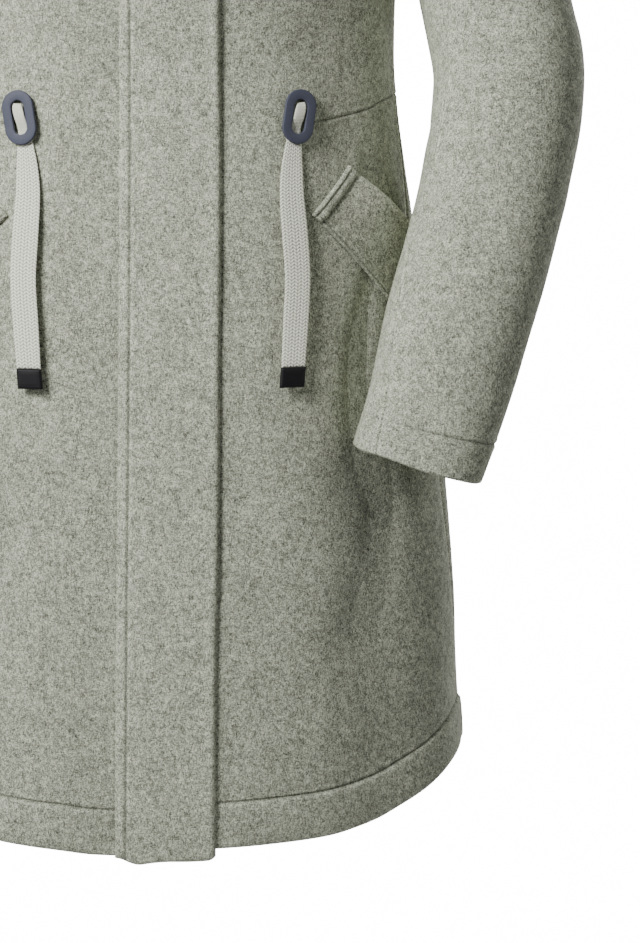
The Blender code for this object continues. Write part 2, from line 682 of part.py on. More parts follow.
def build_hood(cloth, neckline):
    """Two halves, each a grid from its face edge to the centre seam, up from the neckline."""
    columns = 2 * (len(neckline) - 1)
    base_row = []
    for column in range(columns + 1):
        low = neckline[column // 2]
        high = neckline[min(column // 2 + 1, len(neckline) - 1)]
        base_row.append(low if column % 2 == 0 else (low + high) / 2)
    base_row = np.array(base_row)
    grid = []
    for row in range(HOOD_ROWS + 1):
        rise = math.sin(math.radians(90.0 * row / HOOD_ROWS)) ** HOOD_ROW_POWER
        face_turn = read(HOOD, "rise", "face_turn", rise)
        line = []
        for column in range(columns + 1):
            share = column / columns
            point = hood_base(face_turn + (180.0 - face_turn) * share, rise)
            start_turn = HOOD["face_turn"][0] + (180.0 - HOOD["face_turn"][0]) * share
            fade = max(1.0 - rise / HOOD_BLEND_RISE, 0.0) ** 2
            line.append(point + fade * (base_row[column] - hood_base(start_turn, 0.0)))
        grid.append(line)
    grid = np.array(grid)
    along_row = np.gradient(grid, axis=1)
    along_column = np.gradient(grid, axis=0)
    normals = np.cross(along_row, along_column)
    normals[-1] = normals[-2]
    normals[-1, :, 0] = 0.0
    normals[:, -1, 0] = 0.0
    normals /= np.linalg.norm(normals, axis=2, keepdims=True)
    normals[..., 0] = np.minimum(normals[..., 0], np.maximum(grid[..., 0] - SEAM_GAP, 0.0) / (2 * WALL))
    for column in range(columns + 1):
        normals[0, column] = neck_normal(grid[0, column])
    outs = np.zeros(grid.shape[:2])
    outs[:, :2] = HOOD_EDGE_OUT
    lifted = grid.copy()
    lifted[0] += across_seam(grid[0], normals[0], grid[1] - grid[0]) * HALF_GAP
    lifted[:, -1, 0] = HALF_GAP
    lifted[-1, :, 0] = HALF_GAP
    wall_mesh("hood_left", lifted, normals, outs, WALL, cloth)
    wall_mesh("hood_right", mirrored(lifted), mirrored(normals), outs, WALL, cloth)


def front_point(x, z):
    """The front's outer face at a distance from the centre line and a height."""
    if z < UNDERARM_Z:
        turn = turn_at(abs(x) / read(LEVELS, "z", "half_width", z))
        return skirt_point(math.copysign(turn, x), z)
    rise = (z - UNDERARM_Z) / (PEAK_Z - UNDERARM_Z)
    for _ in range(SETTLE_ROUNDS):
        share = abs(x) / yoke_half_width(rise)
        rise = (z - UNDERARM_Z + SHOULDER_DROP * rise * rise * share) / (PEAK_Z - UNDERARM_Z)
    return yoke_point(math.copysign(turn_at(share), x), rise)


def front_normal(x, z):
    across = front_point(x + 1.0, z) - front_point(x - 1.0, z)
    up = front_point(x, z + 1.0) - front_point(x, z - 1.0)
    return unit(np.cross(across, up))


def build_band(cloth):
    """The doubled front band: rounded edges, and a stitch groove along its fixed side."""
    heights = [z for z, out in skirt_rows(0.0)][2:]
    heights = [BAND_FOOT_Z, BAND_FOOT_Z + 1.5, BAND_FOOT_Z + 5.0] + heights[1:]
    rises = [FRONT_NECK_RISE * row / YOKE_ROWS for row in range(1, YOKE_ROWS)]
    heights += [UNDERARM_Z + (PEAK_Z - UNDERARM_Z) * rise for rise in rises]
    heights += [BAND_TOP_Z - 1.5, BAND_TOP_Z]
    points, normals, outs = [], [], []
    for row, z in enumerate(heights):
        left = read(BAND_EDGES, "z", "left", z)
        right = read(BAND_EDGES, "z", "right", z)
        if row < len(BAND_CORNER):
            right -= BAND_CORNER[row]
        across = [(left + inward, out) for inward, out in zip(*BAND_TABLE_FROM_LEFT.values())]
        across.append((0.0, BAND_THICK))
        across += [(right - inward, out) for inward, out in zip(*BAND_TABLE_FROM_RIGHT.values())]
        at_end = row in (0, len(heights) - 1)
        points.append([front_point(x, z) + front_normal(x, z) * LAY_GAP for x, out in across])
        normals.append([front_normal(x, z) for x, out in across])
        outs.append([min(out, BAND_END_OUT) if at_end else out for x, out in across])
    wall_mesh("placket", np.array(points), np.array(normals), np.array(outs), 0.0, cloth)


def build_pockets(cloth):
    """A slanted welt that runs from a stitched end near the centre to the side seam."""
    along = list(zip(*WELT_ALONG.values()))
    across = list(zip(*WELT_ACROSS.values()))
    low, top = np.array(WELT_LOW), np.array(WELT_TOP)
    low_foot, top_foot = np.array(WELT_LOWER_FOOT), np.array(WELT_UPPER_FOOT)
    for name, hand in HANDS:
        points, normals, outs = [], [], []
        for v, side_out in across:
            for u, end_out in along:
                turn, z = (low * (1 - v) + top * v) * (1 - u) + (low_foot * (1 - v) + top_foot * v) * u
                normal = normal_of(skirt_point, hand * turn, z)
                points.append(skirt_point(hand * turn, z) + normal * LAY_GAP)
                normals.append(normal)
                outs.append(WELT_EDGE if v in (0.0, 1.0) else end_out + side_out)
        shape = (len(across), len(along))
        points = np.array(points).reshape(*shape, 3)
        normals = np.array(normals).reshape(*shape, 3)
        wall_mesh("pocket_" + name, points, normals, np.array(outs).reshape(shape), 0.0, cloth)


def stadium(half_straight, radius):
    """Points round a slot shape, lengthwise along the second axis."""
    spots = []
    for end, start in ((1, 0.0), (-1, 180.0)):
        for step in range(RING_ARC_STEPS + 1):
            angle = math.radians(start + 180.0 * step / RING_ARC_STEPS)
            spots.append((radius * math.cos(angle), end * half_straight + radius * math.sin(angle)))
    return spots


def build_rings(plastic):
    """A flat oval ring with chamfered edges, tipped forward by the cord behind its foot."""
    outer_straight = (RING_LENGTH - RING_WIDTH) / 2
    slot_straight = (SLOT_LENGTH - SLOT_WIDTH) / 2
    outer, slot = RING_WIDTH / 2, SLOT_WIDTH / 2
    far = RING_THICK - RING_EDGE
    profile = [(outer_straight, outer - RING_EDGE, 0.0), (outer_straight, outer, RING_EDGE)]
    profile += [(outer_straight, outer, far), (outer_straight, outer - RING_EDGE, RING_THICK)]
    profile += [(slot_straight, slot + RING_EDGE, RING_THICK), (slot_straight, slot, far)]
    profile += [(slot_straight, slot, RING_EDGE), (slot_straight, slot + RING_EDGE, 0.0)]
    tip = math.atan2(RING_FOOT_STAND - RING_TOP_STAND, RING_LENGTH)
    lean = math.radians(RING_LEAN)
    for name, hand in HANDS:
        normal = front_normal(hand * RING_X, RING_Z)
        up = np.array((hand * math.sin(lean), 0.0, math.cos(lean)))
        up = unit(up - normal * (up @ normal))
        side = np.cross(up, normal)
        face = unit(normal * math.cos(tip) + up * math.sin(tip))
        long_way = unit(up * math.cos(tip) - normal * math.sin(tip))
        centre = front_point(hand * RING_X, RING_Z) + normal * (RING_FOOT_STAND + RING_TOP_STAND) / 2
        bm = bmesh.new()
        loops = []
        for straight, radius, height in profile:
            spots = [centre + side * a + long_way * b + face * height for a, b in stadium(straight, radius)]
            loops.append([bm.verts.new(spot * MM) for spot in spots])
        for lower, upper in zip(loops, loops[1:] + loops[:1]):
            for spot in range(len(lower)):
                after = (spot + 1) % len(lower)
                bm.faces.new((lower[spot], lower[after], upper[after], upper[spot]))
        finish_mesh("ring_" + name, bm, plastic)


def strip_mesh(name, stations, hand, material):
    """A flat strip with rounded edges through stations of x, z, width, thickness and stand."""
    bm = bmesh.new()
    loops = []
    for x, z, width, thick, stand in stations:
        base = front_point(hand * x, z)
        normal = front_normal(hand * x, z)
        side = unit(np.cross((0.0, 0.0, 1.0), normal))
        middle = base + normal * (stand + thick / 2)
        half, deep = width / 2, thick / 2
        flat = half - CORD_ROUND * thick
        outline = ((-half, 0.0), (-flat, deep), (0.0, deep), (flat, deep))
        outline += ((half, 0.0), (flat, -deep), (0.0, -deep), (-flat, -deep))
        loops.append([bm.verts.new((middle + side * a + normal * b) * MM) for a, b in outline])
    for lower, upper in zip(loops, loops[1:]):
        for spot in range(len(lower)):
            after = (spot + 1) % len(lower)
            bm.faces.new((lower[spot], lower[after], upper[after], upper[spot]))
    bm.faces.new(loops[0])
    bm.faces.new(loops[-1][::-1])
    finish_mesh(name, bm, material)


def build_cords(knit, leather):
    heights = []
    for high, low in zip(CORD["z"], CORD["z"][1:]):
        steps = 2 if high - low > CORD_STEP else 1
        heights += [high + (low - high) * step / steps for step in range(steps)]
    heights.append(CORD["z"][-1])
    stations = []
    for z in heights:
        x, width, thick, stand = (read(CORD, "z", name, z) for name in ("x", "width", "thick", "stand"))
        stations.append((x, z, width, thick, stand))
    tab = list(zip(TAB["x"], TAB["z"], TAB["width"], TAB["thick"], TAB["stand"]))
    for name, hand in HANDS:
        strip_mesh("cord_" + name, stations, hand, knit)
        strip_mesh("tab_" + name, tab, hand, leather)


def main():
    clear_scene()
    cloth = make_material("wool_felt", CLOTH_COLOUR, 0.92)
    light = make_material("wool_felt_light", CLOTH_LIGHT, 0.92)
    plastic = make_material("slate_plastic", RING_COLOUR, 0.55)
    knit = make_material("knit_cord", CORD_COLOUR, 0.85)
    leather = make_material("black_tab", TAB_COLOUR, 0.5)
    front_points = build_fronts(cloth)
    back_points = build_back(cloth)
    build_sleeves(cloth, armhole_loop(front_points, back_points))
    front_neck = list(front_points[UNDERARM_ROW + HOOD_START_ROW :, 0])
    back_neck = list(back_points[UNDERARM_ROW + BACK_NECK_ROW : -1, 0][::-1])
    build_hood(cloth, front_neck + back_neck)
    build_band(light)
    build_pockets(cloth)
    build_rings(plastic)
    build_cords(knit, leather)


main()
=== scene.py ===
"""The looks of the hooded wool parka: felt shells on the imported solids, sewn seams, stitches,
knitted waist cords, eyelet rings and tabs, with the photo's camera and soft studio light.

Lengths are in millimetres and become metres when a mesh is made. A turn of 0 is the centre front,
90 the wearer's left side and 180 the centre back. The front faces -Y and up is +Z.
"""

import math

import bpy
import numpy as np
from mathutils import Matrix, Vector


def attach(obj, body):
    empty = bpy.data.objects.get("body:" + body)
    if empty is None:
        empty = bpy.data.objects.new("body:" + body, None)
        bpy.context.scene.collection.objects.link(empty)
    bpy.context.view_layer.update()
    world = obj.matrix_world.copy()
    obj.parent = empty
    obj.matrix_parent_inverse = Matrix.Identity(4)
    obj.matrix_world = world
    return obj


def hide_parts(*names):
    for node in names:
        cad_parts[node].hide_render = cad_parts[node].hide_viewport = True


MM = 0.001

# Cloth
WALL = 2.6
LAY_GAP = 0.45
ROUNDNESS = 2.25
BODY_CENTRE_Y = 5.0
CELL = 4.0
NEAR_MARK = (0.5, 1.1, 1.9, 3.0, 4.4)

# Heights of the body, from the point where shoulder and neck meet
UNDERARM_Z = -236.0
WAIST_FRONT_Z = -405.0
HEM_FRONT_Z = -967.0
HEM_SIDE_RISE = 53.0
HEM_CURVE = 1.75
HEM_DEPTH = 36.4
HEM_SWELL = 3.4
HEM_TURN_UP = 1.7
HEM_EDGE_DROP = 0.82
HEM_EDGE_REACH = 1.6
HEM_TOP_FALL = 0.25
HEM_TOP_REACH = 2.2
HEM_STITCH_CLEAR = 3.0
HEM_PUCKER_REACH = 12.0
SIDE_PUCKER = 0.7
SIDE_PUCKER_REACH = 9.0
WAIST_SEAM_STARTS = (30.0, 32.5)
BAND_SIDE_TURN = 7.0
HALF_GIRTH = 300.0

# Turns from the centre front with the heights of the hem's edge, how far the wearer's right hangs
# lower, and the waist seam
LINES = {
    "turn": (0.0, 8.0, 12.0, 17.5, 23.5, 30.0, 36.0, 43.0, 50.0, 58.0, 63.0, 70.0, 80.0, 90.0),
    "hem": (-966.4, -965.0, -964.2, -962.8, -961.5, -959.9, -957.1, -952.8, -945.4, -936.8, -931.0, -923.6,
            -917.0, -912.5),
    "right_drop": (5.0, 5.2, 5.0, 3.2, 2.2, 1.6, 1.2, 0.9, 0.6, 0.4, 0.2, 0.0, 0.0, 0.0),
    "waist": (-409.5, -409.3, -409.0, -408.6, -408.0, -407.2, -406.1, -404.5, -401.9, -398.9, -395.6, -393.2,
              -391.6, -391.0),
}

# Level, half width, front depth, back depth and how far the side seam leads the side, in degrees
LEVELS = {
    "z": (-1010.0, -907.0, -862.0, -792.0, -713.0, -600.0, -482.0, -406.0, -365.0, -300.0, -236.0),
    "half_width": (241.5, 238.4, 236.8, 234.6, 228.8, 214.0, 199.0, 188.3, 184.6, 185.5, 190.0),
    "front": (147.5, 150.5, 150.0, 146.5, 142.0, 133.5, 121.0, 113.5, 112.5, 118.0, 124.0),
    "back": (155.0, 150.0, 148.0, 144.0, 139.0, 129.0, 112.0, 100.0, 97.0, 103.0, 112.0),
    "seam_lead": (1.0, 2.0, 4.0, 8.0, 13.0, 15.0, 13.0, 10.0, 8.0, 5.0, 3.0),
}
UNDERARM_X = LEVELS["half_width"][-1]
UNDERARM_FRONT = LEVELS["front"][-1]
UNDERARM_BACK = LEVELS["back"][-1]

# Shoulders and neck
PEAK_Z = 26.0
SHOULDER_DROP = 71.0
SHOULDER_TIP_X = 205.0
NECK_X = 75.0
FRONT_NECK_RISE = 0.60
BACK_NECK_RISE = 0.86
FRONT_CLOSE = 0.75
BACK_CLOSE = 0.60
ARMHOLE_MIDDLE_Z = -140.0
YOKE_LENGTH = 290.0

# The armhole, from underarm to shoulder tip: rise, turn from the front, turn from the back
ARMHOLE = {
    "rise": (0.0, 0.02, 0.06, 0.14, 0.28, 0.45, 0.62, 0.78, 0.90, 0.97, 1.0),
    "front": (87.0, 78.0, 69.0, 61.5, 57.5, 56.5, 58.5, 63.0, 70.0, 79.0, 90.0),
    "back": (93.0, 83.0, 74.0, 66.5, 62.0, 61.0, 62.5, 66.0, 72.0, 80.0, 90.0),
}
ARMHOLE_STEPS = len(ARMHOLE["rise"]) - 1
FRONT_NECK_STEP = 4
BACK_NECK_STEP = 5

# Soft folds of the body: turn from the front, its half spread, top, foot and depth outward
FOLDS = {
    "turn": (46.0, 62.0, 7.0, -40.0, -60.0, -20.0, 118.0, 143.0, 165.0, -124.0, -150.0, -176.0, 25.0, -25.0),
    "spread": (11.0, 12.0, 11.0, 12.0, 13.0, 12.0, 13.0, 12.0, 11.0, 13.0, 12.0, 11.0, 11.5, 11.5),
    "top": (-560, -600, -640, -520, -580, -660, -520, -560, -480, -500, -540, -520, -250, -250),
    "foot": (-880, -960, -960, -900, -980, -1010, -990, -1010, -1000, -990, -1010, -1010, -390, -390),
    "out": (-3.8, 1.0, 3.8, -4.0, 4.5, 1.5, 5.5, -6.5, 5.5, 5.5, -7.0, 6.0, 4.5, 4.5),
}

# Soft creases of the body, each a short line in turn and height with its half width and depth
BODY_CREASES = {
    "turn_a": (51, 60, 20, 47, 66, 30, -50, -64, -24, -49, -68, 112, 140, 158, 168, -112, -138, -160,
               176, 124, 57, -60, 55, -56),
    "z_a": (-434, -300, -300, -610, -250, -700, -430, -310, -290, -600, -255, -330, -360, -380, -250,
            -340, -372, -350, -640, -700, -700, -690, -500, -510),
    "turn_b": (78, 78, 44, 31, 40, 16, -74, -80, -46, -33, -42, 150, 176, 126, 140, -148, -174, -128,
               150, 150, 54, -55, 43, -44),
    "z_b": (-496, -350, -352, -850, -190, -860, -492, -352, -344, -840, -196, -352, -390, -412, -180,
            -366, -404, -388, -820, -880, -880, -870, -700, -700),
    "width": (12, 13, 22, 22, 16, 24, 13, 13, 21, 23, 15, 13, 12, 14, 20, 12, 13, 15, 26, 24, 18, 19, 15, 15),
    "out": (-6.5, -1.6, -1.3, -4.2, -1.8, 1.0, -6.0, -1.5, -1.2, -3.8, -1.7, -3.2, -2.6, -2.1, -2.6,
            -3.0, -2.8, -2.3, -3.4, 2.8, 0.3, 1.6, -4.6, -4.4),
}
TURN_WIDTH = 3.5
CREASE_BOW = 0.10
CREASE_TAPER = 0.8
CREASE_WIDTHS = (0.75, 0.5)

# Sleeve stations: centre, half width, half depth, and the turns of the two seams, in degrees
SLEEVE = {
    "x": (251.0, 263.0, 271.9, 260.4, 243.9, 226.3, 211.4, 197.2),
    "y": (-6.0, -28.0, -50.0, -70.0, -88.0, -106.0, -119.0, -129.0),
    "z": (-262.0, -320.0, -378.0, -452.0, -511.0, -570.0, -622.0, -664.0),
    "half_width": (58.0, 58.1, 58.5, 57.3, 56.7, 56.0, 53.0, 51.4),
    "half_depth": (62.0, 60.0, 57.0, 53.0, 49.0, 44.0, 39.0, 36.0),
    "front_seam": (44.0, 38.0, 33.0, 28.0, 27.0, 32.0, 44.0, 52.0),
    "back_seam": (62.0, 64.0, 66.0, 68.0, 70.0, 72.0, 74.0, 76.0),
}
CUFF_Z = SLEEVE["z"][-1]
CAP_Z = SLEEVE["z"][0]
CUFF_DIP = 11.0
CUFF_DIP_TOP_Z = -540.0
CUFF_STITCH = 25.2
CUFF_STITCH_TILT = 2.9
CUFF_CALM = 70.0
CUFF_SWELL = 0.3
CUFF_EDGE_REACH = 1.5
CUFF_TOP_REACH = 1.8
CUFF_TURN_UP = 1.2
CUFF_PUCKER_REACH = 9.0
CUFF_LINE_SHOWS = (55.0, 115.0)
CUFF_LINE_LEAST = 0.35
CUFF_EDGE = {
    "turn": (0.0, 15.0, 30.0, 45.0, 60.0, 75.0, 90.0, 105.0, 120.0, 135.0, 150.0, 165.0, 180.0, 225.0, 270.0,
             315.0, 360.0),
    "up": (-2.9, -2.1, -1.2, 0.7, 2.2, 2.6, 2.4, 2.4, 2.4, 1.9, 1.0, 0.1, -0.5, -0.9, -1.6, -2.4, -2.9),
}
CAP_LENGTH = 150.0
CAP_LEAVE = (14.0, 66.0)
CAP_ARRIVE = (32.0, 100.0)
CAP_SPREAD = 0.35
SLEEVE_CELL = 3.4
SLEEVE_AXIS_STEP = 8.0
SLEEVE_SEED = 31
FRONT_SEAM_STEP = 3
BACK_SEAM_STEP = 5

# Soft creases of a sleeve, each a short line in turn and height with its half width and depth
SLEEVE_CREASES = {
    "turn_a": (20, 8, 340, 60, 130, 250, 300, 100, 215),
    "z_a": (-330, -372, -405, -262, -300, -330, -420, -560, -470),
    "turn_b": (96, 80, 60, 120, 190, 330, 225, 150, 160),
    "z_b": (-362, -392, -432, -290, -330, -368, -470, -600, -520),
    "width": (10, 9, 11, 15, 17, 12, 14, 15, 18),
    "out": (-2.0, -2.4, -1.7, -1.6, -1.2, -2.0, -1.5, -0.9, -1.1),
}
SLEEVE_TURN_WIDTH = 0.95

# The front band
BAND_TOP_Z = -84.0
BAND_FOOT_Z = -977.2
BAND_THICK = 4.2
BAND_FIXED_THICK = 2.9
BAND_ROLL = 4.6
BAND_EDGES = {
    "z": (-972.0, -785.0, -562.0, -372.0, -84.0),
    "left": (-37.5, -35.0, -31.5, -29.5, -29.0),
    "right": (38.2, 41.3, 44.5, 46.0, 46.0),
}
BAND_STITCH = 7.5
BAND_LIFT = 1.1
BAND_LIFT_REACH = 12.0
BAND_LIFT_STARTS = (-90.0, -130.0)
BAND_CELL = 2.6
BAND_EDGE_OUT = 0.9
BAND_LEAST_OUT = 0.8
BAND_THICKENS = (6.0, 26.0)
BAND_SIDE_DROP = 1.9
BAND_SIDE_REACH = 1.6
BAND_END_DROP = 2.2
BAND_END_REACH = 1.3
BAND_PUCKER_REACH = 7.0
BAND_FOOT_POWER = 12
# Painted shade along the front band's free edge: how much and how far
BAND_EDGE_PAINTED_SHADE = 0.45
BAND_EDGE_PAINTED_SHADE_REACH = 1.2
BAND_SWINGS = ((0.35, 41.0, 0.0), (0.3, 97.0, 1.0))
BAND_FOOT = {
    "x": (-40.0, -33.0, -26.0, -20.0, -12.0, 0.0, 20.0, 33.0, 37.0, 41.0),
    "up": (6.0, 4.5, 1.5, 0.1, 1.2, 2.4, 2.5, 3.4, 5.2, 10.0),
}

# The slanted pocket welt: its corners as turn from the front and height
WELT_TOP = (46.2, -440.7)
WELT_LOW = (32.5, -476.5)
WELT_UPPER_FOOT = (74.4, -510.0)
WELT_LOWER_FOOT = (74.4, -600.0)
WELT_BAND = {
    "from_end": (0.0, 0.7, 1.7, 2.7, 3.4, 4.1, 6.2, 9.0, 10.3, 11.4, 13.0, 15.6, 30.0),
    "out": (1.0, 3.1, 3.8, 3.5, 2.7, 3.5, 4.2, 3.7, 1.7, 2.2, 2.5, 2.6, 2.6),
}
WELT_STAND = 10.0
WELT_LENGTH = 150.0
WELT_DEPTH = 62.0
WELT_STITCH = 3.4
WELT_GROOVE = 10.4
WELT_CELL = 2.4
WELT_BAND_KEPT = 16.0
WELT_STANDS_FROM = 11.0
WELT_LEAST_OUT = 0.6
WELT_LOW_DROP = 1.5
WELT_LOW_REACH = 0.9
WELT_TOP_DROP = 1.3
WELT_TOP_REACH = 0.6
WELT_LIP = 0.7
WELT_UNEVEN = 0.25

# The eyelet ring
RING_X = 104.0
RING_Z = -401.8
RING_LENGTH = 42.0
RING_WIDTH = 25.4
RING_THICK = 3.0
RING_EDGE = 0.8
SLOT_LENGTH = 26.5
SLOT_WIDTH = 10.6
RING_LEAN = 13.0
RING_TOP_STAND = 0.9
RING_FOOT_STAND = 4.2
RING_ARC_STEPS = 28
RING_FRONTWARD = 0.16

# The flat waist cord, from the slot down to its end tab
CORD = {
    "z": (-391.0, -395.0, -402.0, -410.0, -416.0, -424.0, -440.0, -460.0, -492.0, -524.0, -558.0, -591.5),
    "x": (105.8, 104.9, 103.3, 101.6, 100.7, 100.0, 98.8, 98.2, 100.0, 101.4, 99.8, 97.8),
    "width": (6.2, 8.7, 9.0, 9.2, 11.0, 13.8, 17.6, 19.8, 21.2, 20.8, 20.6, 19.2),
    "thick": (2.2, 2.4, 2.4, 1.9, 1.7, 2.1, 2.2, 2.2, 2.2, 2.2, 2.2, 2.2),
    "stand": (1.8, 3.2, 3.4, 1.3, 0.85, 0.9, 1.2, 2.4, 4.2, 5.5, 6.0, 6.5),
}
CORD_COLUMNS = 8
CORD_STRAND = 2.6
CORD_RELIEF = 0.5
CORD_CELL = 0.5
CORD_WIDTH = 21.0
CORD_EDGE_CELLS = 0.35
CORD_EVEN_CELLS = 0.65
CORD_END_REACH = 1.5
CORD_LEAST = 0.12
KNIT_SLANT = 0.85
KNIT_STRAND_ROUND = 0.55
KNIT_COLUMN_ROUND = 0.45
TAB_TOP_Z = -591.8
TAB_FOOT_Z = -606.8
TAB_WIDTH = 19.4
TAB_THICK = 4.2
TAB_STAND = 5.5
TAB_SHIFT = 0.07
TAB_CELL = 1.0
TAB_INSET = 1.9
TAB_STITCHES = (2.2, 1.6, 0.2)

# The hood: ring height, half width, reach to the front and to the back, and the face edge's turn
HOOD = {
    "rise": (0.0, 0.12, 0.30, 0.50, 0.70, 0.85, 0.95, 1.0),
    "z": (-20.0, 22.0, 82.0, 150.0, 214.0, 260.0, 287.0, 296.0),
    "half_width": (78.0, 94.0, 109.0, 113.0, 102.0, 78.0, 45.0, 0.0),
    "front": (92.0, 118.0, 144.0, 156.0, 150.0, 134.0, 118.0, 110.0),
    "back": (56.0, 84.0, 112.0, 124.0, 121.0, 107.0, 92.0, 84.0),
    "face_turn": (38.0, 45.0, 51.0, 52.0, 47.0, 38.0, 23.0, 0.0),
}
HOOD_FRONT_DROP = 16.0
HOOD_BACK_DROP = 44.0
HOOD_REACH = 100.0
HOOD_BLEND_RISE = 0.36
HOOD_ROW_POWER = 1.15
HOOD_START_STEP = 7
HOOD_HEIGHT = 330.0
HOOD_WIDTH = 240.0
HOOD_HEM = 26.0
HOOD_TURN_UP = 1.2
HOOD_STITCH_END = 4
HOOD_MIDDLE = (0.0, 5.0, 130.0)

# The seams' relief
LIP_AWAY = 2.5
LIP_SPREAD = 1.3
SEAM_DEPTH = 1.5
SEAM_WIDTH = 1.2
SEAM_LIP = 0.5
SIDE_SINK = 3.0
SIDE_SINK_REACH = 4.0
SIDE_SINK_FOOT = (-890.0, -790.0)
SIDE_SINK_TOP = (-520.0, -430.0)
STITCH_DEPTH = 1.1
STITCH_WIDTH = 1.0
STITCH_LIP = 0.35
FAR = 1000.0

# Each sewn line's depth, width and lip
GROOVES = {
    "hem": (STITCH_DEPTH * 0.75, STITCH_WIDTH, STITCH_LIP * 0.6),
    "waist": (SEAM_DEPTH * 0.65, STITCH_WIDTH * 0.9, SEAM_LIP * 0.6),
    "side": (SEAM_DEPTH * 1.2, SEAM_WIDTH, SEAM_LIP * 2.0),
    "top": (SEAM_DEPTH, SEAM_WIDTH, SEAM_LIP),
    "neck": (SEAM_DEPTH * 0.4, SEAM_WIDTH, SEAM_LIP),
    "cuff": (STITCH_DEPTH * 0.7, STITCH_WIDTH, STITCH_LIP),
    "sleeve_back": (SEAM_DEPTH * 0.75, STITCH_WIDTH * 0.9, SEAM_LIP),
    "sleeve_front": (0.28, 0.8, 0.42),
    "hood_centre": (SEAM_DEPTH * 0.7, SEAM_WIDTH, SEAM_LIP),
    "face": (STITCH_DEPTH, STITCH_WIDTH, STITCH_LIP),
    "band": (STITCH_DEPTH * 0.6, STITCH_WIDTH, STITCH_LIP),
    "pocket": (0.7, 0.8, 0.25),
}

# How far each rim bulges along the cloth
ROUNDING = {"neck": 2.2, "hem": 1.2, "cuff": 1.1, "face": 1.1, "centre": 0.5, "band": 0.9, "pocket": 0.5,
            "tab": 0.25}

# Heights of the broad waves, the fine waves and what sewing adds to those, and the calm beside seams
UNEVEN = {
    "body": (0.75, 0.10, 0.30, 14.0),
    "sleeve": (0.65, 0.10, 0.22, 12.0),
    "hood": (0.9, 0.16, 0.0, 12.0),
    "band": (0.45, 0.07, 0.20, 9.0),
}

# Stitches
STITCH_PITCH = 3.4
STITCH_LENGTH = 2.3
STITCH_RADIUS = 0.26
STITCH_SIDES = 5
STITCH_SECTIONS = ((-1.0, 0.35, -1.6), (-0.6, 1.0, -0.1), (0.6, 1.0, -0.1), (1.0, 0.35, -1.6))

HANDS = (("left", 1.0), ("right", -1.0))

# The camera, in millimetres
CAMERA_AT = (0.0, -3156.0, -140.0)
CAMERA_AIM = (121.0, -140.0, -670.0)
CAMERA_LENS = 152.7
CAMERA_SENSOR = 36.0
FLOOR_Z = -1420.0
FLOOR_RADIUS = 1000.0
FLOOR_SIDES = 128

# Lights: place, aim and size in millimetres, watts and colour
LIGHTS = (
    ("key", (-1000.0, -1100.0, 500.0), (100.0, 0.0, -620.0), 700.0, 51.5, (1.0, 1.0, 1.0)),
    ("side", (-2600.0, -1500.0, -300.0), (100.0, 0.0, -620.0), 1400.0, 16.0, (1.0, 1.0, 1.0)),
    ("fill", (2800.0, -1800.0, 1100.0), (100.0, 0.0, -620.0), 1600.0, 28.0, (1.0, 1.0, 1.0)),
    ("rim", (1700.0, 2300.0, 0.0), (100.0, 0.0, -620.0), 1600.0, 70.0, (1.0, 1.0, 1.0)),
)
WORLD_STRENGTH = 0.03
BACKDROP_STRENGTH = 16.0

# Felt: the colours of its dark, middle and light fibres, where they part, and its strands' scale per
# metre, stretch and turn
FELT_FIBRES = {
    "wool_felt": ((0.086, 0.090, 0.0705), (0.319, 0.334, 0.262), (0.725, 0.758, 0.594)),
    # wool_felt_light is the same felt painted lighter, as painted light for the sleeves and the front band
    "wool_felt_light": ((0.096, 0.100, 0.079), (0.352, 0.369, 0.289), (0.79, 0.825, 0.65)),
}
FELT_STOPS = (0.422, 0.50, 0.578)
FELT_STRANDS = (
    (1050.0, (1.0, 1.0, 0.35), (0.3, 1.1, 0.2)),
    (1050.0, (0.35, 1.0, 1.0), (0.2, 0.5, 0.9)),
    (1100.0, (1.0, 1.0, 0.38), (0.2, -0.8, 0.4)),
)
# The knit's colours: the dark one is painted shade for the furrows, the light one the strands' own colour
KNIT_COLOURS = ((0.15, 0.15, 0.12), (0.93, 0.94, 0.80))

# Plain materials: colour, its spread, roughness, grain scale per metre, grain height and specular level
PLAIN = {
    "thread": ((0.19, 0.20, 0.165), 0.25, 0.85, 900.0, 0.1, 0.3),
    "slate_plastic": ((0.055, 0.060, 0.088), 0.10, 0.58, 700.0, 0.05, 0.3),
    "black_tab": ((0.0052, 0.0048, 0.0062), 0.35, 0.6, 1100.0, 0.12, 0.25),
    "tab_thread": ((0.012, 0.0115, 0.0135), 0.2, 0.6, 900.0, 0.05, 0.3),
    "pale_floor": ((0.90, 0.90, 0.90), 0.01, 0.9, 3.0, 0.02, 0.1),
}

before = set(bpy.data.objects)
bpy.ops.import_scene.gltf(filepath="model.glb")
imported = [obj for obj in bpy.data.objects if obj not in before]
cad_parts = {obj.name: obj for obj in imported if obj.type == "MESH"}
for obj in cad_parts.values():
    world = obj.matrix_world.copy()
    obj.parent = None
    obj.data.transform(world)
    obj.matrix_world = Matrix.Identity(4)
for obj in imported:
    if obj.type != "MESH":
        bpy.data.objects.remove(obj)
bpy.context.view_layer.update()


# Curves and sections

def unit(vectors):
    vectors = np.asarray(vectors, float)
    return vectors / np.linalg.norm(vectors, axis=-1, keepdims=True)


